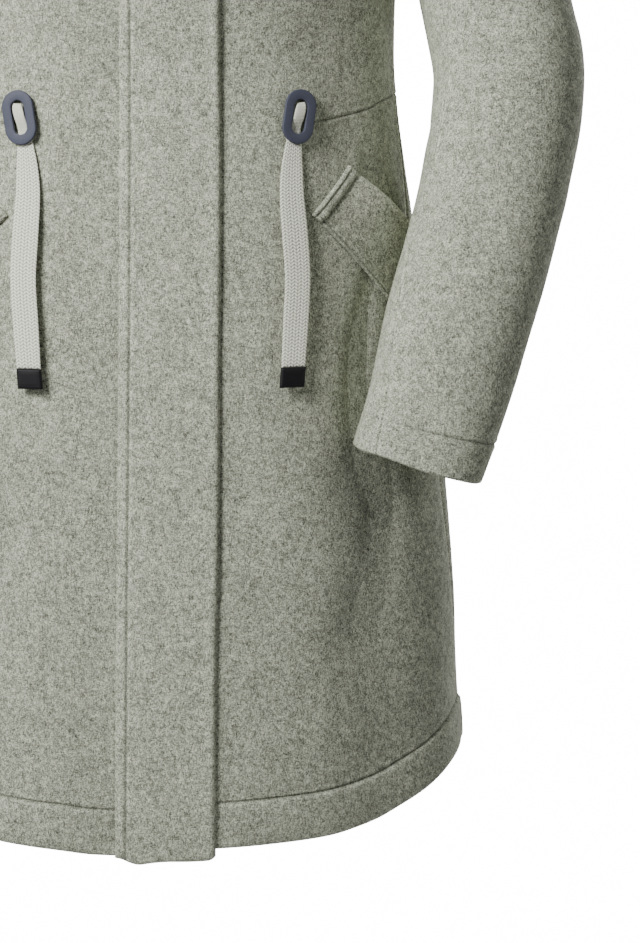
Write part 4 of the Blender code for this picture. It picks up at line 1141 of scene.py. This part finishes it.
def sleeve_grid():
    """The left sleeve's fine grid from the armhole to the cuff, with its turns and seam columns."""
    loop, first, last = armhole_loop()
    t = (stations(CAP_LENGTH, CELL, (0.0,)) / CAP_LENGTH)[:-1, None, None]
    away = unit(loop * np.array((0.0, 1.0, 1.0)) - np.array((0.0, 0.0, ARMHOLE_MIDDLE_Z)))
    height = (1.0 + away[:, 2:]) / 2.0
    leave = unit(np.array((1.0, 0.0, 0.0)) + CAP_SPREAD * away) * (CAP_LEAVE[0] + CAP_LEAVE[1] * height)
    top = np.array((CAP_Z,))
    arrive = sleeve_frame(top)[0] * (CAP_ARRIVE[0] + CAP_ARRIVE[1] * height)
    top_turns = sleeve_turns(loop, first, last, top)
    ring = sleeve_point(top[:, None], top_turns)[0]
    cap = (2 * t**3 - 3 * t**2 + 1) * loop + (t**3 - 2 * t**2 + t) * leave
    cap += (3 * t**2 - 2 * t**3) * ring + (t**3 - t**2) * arrive
    arm_length = CAP_Z - CUFF_Z
    z = CAP_Z - stations(arm_length, CELL, (arm_length - CUFF_STITCH, arm_length))
    arm_turns = sleeve_turns(loop, first, last, z)
    up = (z - CUFF_Z)[:, None]
    tilt = np.minimum(up / CUFF_STITCH, 1.0) * (1 - smooth_step(CUFF_STITCH, CUFF_STITCH + CUFF_CALM, up))
    arm = sleeve_point(z[:, None] - CUFF_STITCH_TILT * tilt * np.cos(np.radians(arm_turns)), arm_turns)
    lift = read(CUFF_EDGE, "turn", "up", arm_turns) * (1 - np.minimum(up / CUFF_STITCH, 1.0))
    arm -= sleeve_frame(z[:, None] + 0.0 * arm_turns)[0] * lift[..., None]
    turns = np.concatenate((np.repeat(top_turns, len(cap), axis=0), arm_turns))
    cuff_rise = np.concatenate((np.full(len(cap), FAR), z - CUFF_Z))
    return np.concatenate((cap, arm)), turns, cuff_rise, first, last


def sleeve_relief(points, turns, cuff_rise, first, last, seed):
    """The sleeve's outward relief, the painted shade and highlight that follow it, and the wall's thickness.
    """
    length = lengths_from_start(points, 1)
    front_seam = np.abs(length - length[:, first:first + 1])
    back_seam = np.abs(length - length[:, last:last + 1])
    seam = np.minimum(front_seam, back_seam)
    cap_seam = lengths_from_start(points, 0)
    rise = cuff_rise[:, None] + 0.0 * seam
    inside = np.clip(rise, 0.0, CUFF_STITCH)
    hem = CUFF_SWELL * (1 - beside(inside, CUFF_EDGE_REACH))
    hem *= 1 - beside(CUFF_STITCH - inside, CUFF_TOP_REACH)
    outward = smooth_step(*CUFF_LINE_SHOWS, np.abs(180.0 - np.abs(turns - 180.0)))
    sewn = (CUFF_LINE_LEAST + (1 - CUFF_LINE_LEAST) * outward) * groove(rise - CUFF_STITCH, "cuff")
    sewn += groove(cap_seam, "top")
    sewn += groove(back_seam, "sleeve_back")
    sewn += groove(front_seam, "sleeve_front")
    calm = calm_beside(np.minimum(seam, cap_seam), "sleeve")
    pucker = beside(np.abs(rise - CUFF_STITCH), CUFF_PUCKER_REACH)
    soft = creases(SLEEVE_CREASES, turns, points[..., 2], SLEEVE_TURN_WIDTH)
    soft += waviness(points, "sleeve", pucker, wave_set(seed, 14, 55.0, 150.0))
    return hem + sewn + soft * calm, seam_painted_shading(sewn), turned_up(CUFF_TURN_UP, CUFF_STITCH, rise)


def build_sleeves(materials):
    """Top and under sleeves, cut from the left sleeve's grid and from its mirror image."""
    points, turns, cuff_rise, first, last = sleeve_grid()
    axis = np.repeat(points[:, :-1].mean(axis=1, keepdims=True), turns.shape[1], axis=1)
    turned = grid_normals(points, axis.reshape(-1, 3))
    turned[:, 0] = unit(turned[:, 0] + turned[:, -1])
    turned[:, -1] = turned[:, 0]
    rounding = np.zeros(turns.shape)
    rounding[-1] = ROUNDING["cuff"]
    stitch_row = int(np.argmin(np.abs(cuff_rise - CUFF_STITCH)))
    parts = {
        "top": np.arange(first, last + 1),
        "under": np.concatenate((np.arange(last, turns.shape[1] - 1), np.arange(0, first + 1))),
    }
    for seed, (name, hand) in enumerate(HANDS):
        outs, painted_shading, thick = relief = sleeve_relief(points, turns, cuff_rise, first, last, SLEEVE_SEED + seed)
        for field in relief:
            field[:, -1] = field[:, 0]
        mirror = np.array((hand, 1.0, 1.0))
        for part, columns in parts.items():
            fields = [field[:, columns] for field in (outs, thick, painted_shading, rounding)]
            # The sleeves use the lighter felt: painted light, since they catch more light than the body.
            piece = panel(f"felt_sleeve_{name}_{part}", points[:, columns] * mirror,
                          turned[:, columns] * mirror, *fields, materials["wool_felt_light"])
            adopt_cut(piece, "wool_felt_light", f"sleeve_{name}_{part}")
        line = (points[stitch_row] + turned[stitch_row] * outs[stitch_row, :, None]) * mirror
        sew("stitches_cuff_" + name, [(line, turned[stitch_row] * mirror)], materials["thread"], "wool_felt")


# The hood

def hood_base(turn, rise):
    half_width, front, back = (read(HOOD, "rise", name, rise) for name in ("half_width", "front", "back"))
    x, y = ring_xy(turn, half_width, front, back)
    reach = (y - BODY_CENTRE_Y) / HOOD_REACH
    drop = np.where(reach < 0, HOOD_FRONT_DROP, HOOD_BACK_DROP)
    z = read(HOOD, "rise", "z", rise) - drop * rise * rise * reach * reach
    return np.stack((x, y, z), axis=-1)


def hood_neckline(share):
    """The left half's seam to the neck, from the hood's front corner, 0, to the centre back, 1."""
    front_steps = ARMHOLE_STEPS - HOOD_START_STEP
    back_steps = ARMHOLE_STEPS - BACK_NECK_STEP
    along = share * (front_steps + back_steps)
    front_share = (HOOD_START_STEP + along - FRONT_NECK_STEP) / (ARMHOLE_STEPS - FRONT_NECK_STEP)
    front = neck_mark(front_share, FRONT_NECK_RISE)
    rear = neck_mark(1.0 - (along - front_steps) / back_steps, BACK_NECK_RISE)
    before = yoke_point(front[:, 0], front[:, 1])
    behind = yoke_point(180.0 - rear[:, 0], rear[:, 1])
    return np.where((along <= front_steps)[:, None], before, behind)


def build_hood(materials):
    """Two halves, each a grid from its face edge to the centre seam, up from the neckline."""
    shares = stations(HOOD_WIDTH, CELL, (0.0, HOOD_HEM, HOOD_WIDTH)) / HOOD_WIDTH
    climbs = stations(HOOD_HEIGHT, CELL, (0.0, HOOD_HEIGHT)) / HOOD_HEIGHT
    rise = (np.sin(np.radians(90.0 * climbs)) ** HOOD_ROW_POWER)[:, None]
    face_turn = read(HOOD, "rise", "face_turn", rise)
    points = hood_base(face_turn + (180.0 - face_turn) * shares, rise + 0.0 * shares)
    first_turn = HOOD["face_turn"][0]
    start = hood_base(first_turn + (180.0 - first_turn) * shares, 0.0 * shares)
    fade = np.maximum(1.0 - rise / HOOD_BLEND_RISE, 0.0) ** 2
    points = points + fade[..., None] * (hood_neckline(shares) - start)
    face = lengths_from_start(points, 1)
    centre = np.minimum(lengths_from_end(points, 1), lengths_from_end(points, 0))
    neck = lengths_from_start(points, 0)
    sewn = groove(centre, "hood_centre")
    sewn += groove(neck, "neck")
    sewn += groove(face - HOOD_HEM, "face")
    hem = HOOD_TURN_UP * (1 - 1.4 * beside(face, 1.5)) * (face < HOOD_HEM)
    hem *= 1 - beside(np.abs(HOOD_HEM - face), 2.0)
    calm = calm_beside(np.minimum(np.minimum(centre, neck), face), "hood")
    thick = np.minimum(turned_up(HOOD_TURN_UP, HOOD_HEM, face), WALL + 0.12 * centre)
    rounding = np.zeros(face.shape)
    rounding[:, -1] = ROUNDING["centre"]
    rounding[-1] = ROUNDING["centre"]
    rounding[0] = ROUNDING["neck"]
    rounding[:, 0] = ROUNDING["face"]
    column = int(np.argmin(np.abs(shares * HOOD_WIDTH - HOOD_HEM)))
    for name, hand in HANDS:
        spots = points * np.array((hand, 1.0, 1.0))
        outs = hem + sewn + waviness(spots, "hood") * calm
        normals = grid_normals(spots, HOOD_MIDDLE)
        piece = panel("felt_hood_" + name, spots, normals, outs, thick, seam_painted_shading(sewn), rounding,
                      materials["wool_felt"])
        adopt_cut(piece, "wool_felt", "hood_" + name)
        line = (spots + normals * outs[..., None])[:-HOOD_STITCH_END, column]
        sew("stitches_hood_" + name, [(line, normals[:-HOOD_STITCH_END, column])], materials["thread"],
            "wool_felt")


# The front band

def build_band(materials):
    """The doubled front band: a stitched line along its fixed side, its free side standing off a little."""
    width = BAND_EDGES["right"][0] - BAND_EDGES["left"][0]
    height = BAND_TOP_Z - BAND_FOOT_Z
    across = stations(width, BAND_CELL, (0.0, BAND_STITCH, width)) / width
    up = (stations(height, CELL, (0.0, height)) / height)[:, None]
    level = BAND_FOOT_Z + height * up
    left = read(BAND_EDGES, "z", "left", level)
    right = read(BAND_EDGES, "z", "right", level)
    for swing, pace, start in BAND_SWINGS:
        right = right + swing * np.sin(level / pace + start)
    x = left + (right - left) * across
    z = level + curve(BAND_FOOT["x"], BAND_FOOT["up"], x) * (1 - up) ** BAND_FOOT_POWER
    normals = front_normal(x, z)
    from_left = x - left
    from_right = right - x
    from_end = np.minimum(level - BAND_FOOT_Z, BAND_TOP_Z - level) + 0.0 * x
    lift = BAND_LIFT * (1 - smooth_step(0.0, BAND_LIFT_REACH, from_right)) * smooth_step(*BAND_LIFT_STARTS, z)
    points = front_point(x, z) + normals * (LAY_GAP + lift)[..., None]
    sewn = groove(from_left - BAND_STITCH, "band")
    flat_top = BAND_FIXED_THICK + (BAND_THICK - BAND_FIXED_THICK) * smooth_step(*BAND_THICKENS, from_left)
    roll = np.sqrt(1 - (1 - np.clip(from_right / BAND_ROLL, 0.0, 1.0)) ** 2)
    outs = BAND_EDGE_OUT + (flat_top - BAND_EDGE_OUT) * roll + sewn
    outs -= BAND_SIDE_DROP * beside(from_left, BAND_SIDE_REACH)
    outs -= BAND_END_DROP * beside(from_end, BAND_END_REACH)
    calm = calm_beside(np.minimum(np.minimum(from_left, from_right), from_end), "band")
    outs += calm * waviness(points, "band", beside(np.abs(from_left - BAND_STITCH), BAND_PUCKER_REACH))
    outs = np.maximum(outs, BAND_LEAST_OUT)
    # Painted shade along the band's free edge, added to the sewn line's painted shading.
    painted_shading = seam_painted_shading(sewn) - BAND_EDGE_PAINTED_SHADE * beside(from_right, BAND_EDGE_PAINTED_SHADE_REACH)
    # The band uses the lighter felt: painted light on the band.
    piece = panel("felt_band", points, normals, outs, 0.0, painted_shading, ROUNDING["band"],
                  materials["wool_felt_light"])
    adopt_cut(piece, "wool_felt_light", "placket")
    column = int(np.argmin(np.abs(across * width - BAND_STITCH)))
    line = (points + normals * outs[..., None])[3:-3, column]
    sew("stitches_band", [(line, normals[3:-3, column])], materials["thread"], "wool_felt_light")


# The pockets

def build_pockets(materials):
    """A slanted welt with a stitched end near the centre, running to the side seam."""
    corners = (WELT_LOW, WELT_TOP, WELT_LOWER_FOOT, WELT_UPPER_FOOT)
    low, top, low_foot, top_foot = (np.array(corner)[:, None, None] for corner in corners)
    v = (stations(WELT_DEPTH, WELT_CELL, (0.0, WELT_CELL, WELT_DEPTH)) / WELT_DEPTH)[:, None]
    run = stations(WELT_LENGTH, WELT_CELL, (0.0, WELT_STITCH, WELT_GROOVE, WELT_LENGTH))[None]
    column = int(np.argmin(np.abs(run[0] - WELT_STITCH)))
    for name, hand in HANDS:
        def spot(u):
            turn, z = (low * (1 - v) + top * v) * (1 - u) + (low_foot * (1 - v) + top_foot * v) * u
            return hand * turn, z

        end_line = skirt_point(*spot(0.0 * run))[:, 0]
        foot_line = skirt_point(*spot(1.0 + 0.0 * run))[:, 0]
        way = unit(end_line[-1] - end_line[0])
        reach = foot_line - end_line[:1]
        reach = np.linalg.norm(reach - (reach @ way)[:, None] * way, axis=1)[:, None]
        past = (run - WELT_BAND_KEPT) / (WELT_LENGTH - WELT_BAND_KEPT) * (reach - WELT_BAND_KEPT)
        distance = np.where(run < WELT_BAND_KEPT, run, WELT_BAND_KEPT + past)
        turn, z = spot(distance / reach)
        base = skirt_point(turn, z)
        normals = unit(np.cross(skirt_point(turn + 0.4, z) - base, skirt_point(turn, z + 0.5) - base))
        normals *= np.sign(np.sum(normals * (base - BODY_MIDDLE), axis=-1, keepdims=True))
        share = np.clip((distance - WELT_STANDS_FROM) / (reach - WELT_STANDS_FROM), 0.0, 1.0)
        stand = WELT_STAND * np.sin(math.pi * share) ** 0.75 * v**1.3
        points = base + normals * (LAY_GAP + stand[..., None])
        from_low = lengths_from_start(points, 0)
        from_top = lengths_from_end(points, 0)
        sewn = groove(from_low - WELT_CELL, "pocket")
        outs = curve(WELT_BAND["from_end"], WELT_BAND["out"], distance) + sewn
        outs -= WELT_LOW_DROP * beside(from_low, WELT_LOW_REACH)
        outs -= WELT_TOP_DROP * beside(from_top, WELT_TOP_REACH)
        outs += WELT_LIP * bell(from_top - 2.2, 1.6) * v
        edge = np.clip(np.minimum(from_low, from_top) / 12.0, 0.0, 1.0)
        outs += WELT_UNEVEN * uneven(points, FINE_WAVES) * edge
        outs = np.maximum(outs, WELT_LEAST_OUT)
        # Painted shade in the stitched line and the groove; painted highlight on the band's two ridges and
        # along the free top edge.
        dip = 0.7 * bell(distance - WELT_STITCH, 0.8) + bell(distance - WELT_GROOVE, 1.0)
        ridge_highlight = bell(distance - 1.4, 1.2) + 0.8 * bell(distance - 6.8, 2.4)
        painted_shading = sewn / STITCH_DEPTH - 0.8 * dip + 0.4 * ridge_highlight + 1.2 * beside(from_top, 1.8)
        piece = panel("felt_pocket_" + name, points, normals, outs, 0.0, np.clip(painted_shading, -1.0, 1.0),
                      ROUNDING["pocket"], materials["wool_felt"])
        adopt_cut(piece, "wool_felt", "pocket_" + name)
        line = points[:, column] + normals[:, column] * outs[:, column, None]
        sew("stitches_pocket_" + name, [(line[3:-3], normals[3:-3, column])], materials["thread"],
            "wool_felt")


# Rings, cords and tabs

def stadium(half_straight, radius):
    """Points round a slot shape, lengthwise along the second axis."""
    spots = []
    for end, start in ((1, 0.0), (-1, 180.0)):
        for step in range(RING_ARC_STEPS + 1):
            angle = math.radians(start + 180.0 * step / RING_ARC_STEPS)
            spots.append((radius * math.cos(angle), end * half_straight + radius * math.sin(angle)))
    return np.array(spots)


def ring_profile():
    """The ring's section, round from its outer foot edge: straight, radius and height of each loop."""
    outer = ((RING_LENGTH - RING_WIDTH) / 2, RING_WIDTH / 2, -1.0)
    slot = ((SLOT_LENGTH - SLOT_WIDTH) / 2, SLOT_WIDTH / 2, 1.0)
    angles = np.radians((0.0, 30.0, 60.0, 90.0))
    profile = []
    for straight, radius, way in (outer, slot):
        insets = RING_EDGE * (1 - np.sin(angles))
        rises = RING_EDGE * (1 - np.cos(angles))
        edge = [(straight, radius + way * inset, rise) for inset, rise in zip(insets, rises)]
        edge += [(straight, spread, RING_THICK - rise) for _, spread, rise in edge[::-1]]
        profile += edge if way < 0 else edge[::-1]
    return profile


def build_rings(materials):
    """A flat oval ring with rounded edges, tipped forward by the cord behind its foot."""
    tip = math.atan2(RING_FOOT_STAND - RING_TOP_STAND, RING_LENGTH)
    lean = math.radians(RING_LEAN)
    for name, hand in HANDS:
        x, z = np.array(hand * RING_X), np.array(RING_Z)
        normal = unit(front_normal(x, z) - np.array((0.0, RING_FRONTWARD, 0.0)))
        up = np.array((hand * math.sin(lean), 0.0, math.cos(lean)))
        up = unit(up - normal * (up @ normal))
        side = np.cross(up, normal)
        face = unit(normal * math.cos(tip) + up * math.sin(tip))
        long_way = unit(up * math.cos(tip) - normal * math.sin(tip))
        centre = front_point(x, z) + normal * (RING_FOOT_STAND + RING_TOP_STAND) / 2
        loops = []
        for straight, radius, height in ring_profile():
            spots = stadium(straight, radius)
            loops.append(centre + spots[:, :1] * side + spots[:, 1:] * long_way + height * face)
        flat, quads = closed_grid(np.array(loops), True)
        piece = make_object("oval_ring_" + name, flat, quads.tolist(), materials["slate_plastic"])
        adopt(piece, "slate_plastic", "ring_" + name)


def cord_line(hand, z):
    """Middle of the cord's section, the direction across it and the direction off the coat."""
    x = hand * read(CORD, "z", "x", z)
    normal = front_normal(x, z)
    side = unit(np.cross(np.array((0.0, 0.0, 1.0)), normal))
    stand = read(CORD, "z", "stand", z) + read(CORD, "z", "thick", z) / 2
    return front_point(x, z) + normal * stand[..., None], side, normal


def knit(across, along):
    """Height of the knitted strands, 0 to 1, at places across the cord, 0 to 1, and along it."""
    column = np.clip(across, 0.0, 0.9999) * CORD_COLUMNS
    spot = column % 1.0
    slant = np.where(np.floor(column) % 2 == 0, 1.0, -1.0)
    phase = (along + slant * (spot - 0.5) * CORD_WIDTH / CORD_COLUMNS * KNIT_SLANT) / CORD_STRAND
    strand = (0.5 + 0.5 * np.cos(2 * math.pi * phase)) ** KNIT_STRAND_ROUND
    return strand * np.sin(math.pi * np.clip(spot, 0.02, 0.98)) ** KNIT_COLUMN_ROUND


def build_cords(materials):
    """Flat knitted cords: raised slanting strands on both faces, rolled edges, and the folded end tab."""
    top, foot = CORD["z"][0], CORD["z"][-1]
    rows = int((top - foot) / CORD_CELL)
    z = np.linspace(top, foot, rows + 1)
    columns = int(CORD_WIDTH / CORD_CELL) + 6
    even = np.linspace(0.0, 1.0, columns + 1)
    across = CORD_EDGE_CELLS * ((1 - np.cos(math.pi * even)) / 2) + CORD_EVEN_CELLS * even
    for name, hand in HANDS:
        middle, side, normal = cord_line(hand, z)
        along = lengths_from_start(middle, 0)
        width = read(CORD, "z", "width", z)[:, None]
        thick = read(CORD, "z", "thick", z)[:, None]
        relief = knit(across[None], along[:, None])
        ends = np.clip(np.minimum(along, along[-1] - along) / CORD_END_REACH, 0.0, 1.0)[:, None] ** 0.5
        deep = (thick / 2 * (1 - np.abs(2 * across - 1) ** 5) ** 0.5 + CORD_RELIEF * (relief - 0.6)) * ends
        deep = np.maximum(deep, CORD_LEAST * ends)
        spread = (across - 0.5) * width
        front = middle[:, None] + side[:, None] * spread[..., None] + normal[:, None] * deep[..., None]
        behind = middle[:, None] + side[:, None] * spread[..., None] - normal[:, None] * deep[..., None]
        points = np.concatenate((front, behind[:, -2:0:-1]), axis=1)
        flat, quads = closed_grid(points, False)
        count = points.shape[1]
        faces = quads.tolist() + end_caps(quads, count, len(points))
        # Painted shade in the knit's furrows: the strands' height sets how light the colour is.
        painted_shading = np.concatenate((relief, relief[:, -2:0:-1]), axis=1) + 0.0 * points[..., 0]
        piece = make_object("waist_cord_" + name, flat, faces, materials["knit_cord"], painted_shading.ravel())
        adopt(piece, "knit_cord", "cord_" + name)
        tab = build_tab(name, hand, materials)


def build_tab(name, hand, materials):
    """The black end tab: a strap folded over the cord's end and sewn all round."""
    down = stations(TAB_TOP_Z - TAB_FOOT_Z, TAB_CELL)
    spread = (stations(TAB_WIDTH, TAB_CELL) / TAB_WIDTH - 0.5) * TAB_WIDTH
    z = (TAB_TOP_Z - down)[:, None] + 0.0 * spread
    x = hand * (CORD["x"][-1] + (z - TAB_TOP_Z) * TAB_SHIFT)
    normal = front_normal(x, z)
    side = unit(np.cross(np.array((0.0, 0.0, 1.0)), normal))
    from_side = TAB_WIDTH / 2 - np.abs(spread) + 0.0 * z
    from_end = np.minimum(down, down[-1] - down)[:, None] + 0.0 * spread
    edge = np.minimum(from_side, from_end)
    deep = TAB_THICK / 2 * (1 - 0.75 * beside(edge, 0.45)) - 0.28 * bell(edge - TAB_INSET, 0.45)
    deep += 0.10 * bell(edge - 1.0, 0.5)
    points = front_point(x, z) + side * spread[..., None] + normal * (TAB_STAND + TAB_THICK / 2)
    tab = panel("end_tab_" + name, points, normal, deep, deep, 0.0, ROUNDING["tab"], materials["black_tab"])
    adopt(tab, "black_tab", "tab_" + name)
    rows = [int(np.argmin(np.abs(down - spot))) for spot in (TAB_INSET, down[-1] - TAB_INSET)]
    half = TAB_WIDTH / 2
    columns = [int(np.argmin(np.abs(spread - spot))) for spot in (TAB_INSET - half, half - TAB_INSET)]
    surface = points + normal * deep[..., None]
    lengthwise, crosswise = slice(rows[0], rows[1] + 1), slice(columns[0], columns[1] + 1)
    lines = [(surface[row, crosswise], normal[row, crosswise]) for row in rows]
    lines += [(surface[lengthwise, column], normal[lengthwise, column]) for column in columns]
    sew("stitches_tab_" + name, lines, materials["tab_thread"], "black_tab", *TAB_STITCHES)
    return tab


# Sewing

def along_line(line, reach, at):
    return np.stack([np.interp(at, reach, line[:, axis]) for axis in range(3)], axis=1)


def sew(name, lines, material, slot, pitch=STITCH_PITCH, length=STITCH_LENGTH, radius=STITCH_RADIUS):
    """A row of thread stitches along each line, both ends of every stitch sunk into the cloth."""
    angles = 2 * math.pi * np.arange(STITCH_SIDES) / STITCH_SIDES
    blocks, quads = [], []
    made = 0
    for line, normals in lines:
        reach = lengths_from_start(line, 0)
        count = max(int((reach[-1] - 0.4 * pitch) / pitch), 1)
        at = (reach[-1] - (count - 1) * pitch) / 2 + pitch * np.arange(count)
        middle = along_line(line, reach, at)
        way = unit(along_line(line, reach, at + 0.5) - along_line(line, reach, at - 0.5))
        normal = unit(along_line(normals, reach, at))
        across = unit(np.cross(way, normal))
        ring = across[:, None] * np.cos(angles)[:, None] + normal[:, None] * np.sin(angles)[:, None]
        sections = []
        for place, size, sink in STITCH_SECTIONS:
            spot = middle + way * (place * length / 2) + normal * (sink * radius)
            sections.append(spot[:, None] + ring * (size * radius))
        spots = np.stack(sections, axis=1)
        numbers = made + np.arange(spots[..., 0].size).reshape(spots.shape[:3])
        after = np.roll(numbers, -1, axis=2)
        quad = (numbers[:, :-1], numbers[:, 1:], after[:, 1:], after[:, :-1])
        quads.append(np.stack(quad, axis=-1).reshape(-1, 4))
        blocks.append(spots.reshape(-1, 3))
        made += len(blocks[-1])
    piece = make_object(name, np.concatenate(blocks), np.concatenate(quads).tolist(), material)
    adopt(piece, slot)


# Camera, light and floor

def aimed(made, place, aim):
    made.location = Vector(place) * MM
    made.rotation_euler = (Vector(aim) - Vector(place)).to_track_quat("-Z", "Y").to_euler()
    bpy.context.scene.collection.objects.link(made)
    return made


def set_camera():
    data = bpy.data.cameras.new("photo_camera")
    data.lens = CAMERA_LENS
    data.sensor_width = CAMERA_SENSOR
    camera = bpy.data.objects.new("photo_camera", data)
    bpy.context.scene.camera = aimed(camera, CAMERA_AT, CAMERA_AIM)


def set_lights():
    for name, place, aim, size, watts, colour in LIGHTS:
        data = bpy.data.lights.new(name, "AREA")
        data.shape = "DISK"
        data.size = size * MM
        data.energy = watts
        data.color = colour
        aimed(bpy.data.objects.new(name, data), place, aim)
    world = bpy.data.worlds.new("studio")
    world.use_nodes = True
    tree = world.node_tree
    background = tree.nodes["Background"]
    background.inputs["Color"].default_value = (1.0, 1.0, 1.0, 1.0)
    seen = node(tree, "ShaderNodeLightPath").outputs["Is Camera Ray"]
    strength = math_node(tree, "MULTIPLY_ADD", seen, BACKDROP_STRENGTH - WORLD_STRENGTH, WORLD_STRENGTH)
    tree.links.new(strength, background.inputs["Strength"])
    bpy.context.scene.world = world


def build_floor(materials):
    angles = 2 * math.pi * np.arange(FLOOR_SIDES) / FLOOR_SIDES
    rim = np.stack((np.cos(angles), np.sin(angles), 0.0 * angles), axis=1) * FLOOR_RADIUS
    rim += np.array((0.0, 0.0, FLOOR_Z))
    make_object("floor", rim, [tuple(range(FLOOR_SIDES))], materials["pale_floor"])


def build_parka():
    """The camera and the cords first, then the cut pieces, the rings, the lights and the floor."""
    materials = make_materials()
    set_camera()
    build_cords(materials)
    build_fronts(materials)
    build_back(materials)
    build_sleeves(materials)
    build_hood(materials)
    build_band(materials)
    build_pockets(materials)
    build_rings(materials)
    set_lights()
    build_floor(materials)


build_parka()
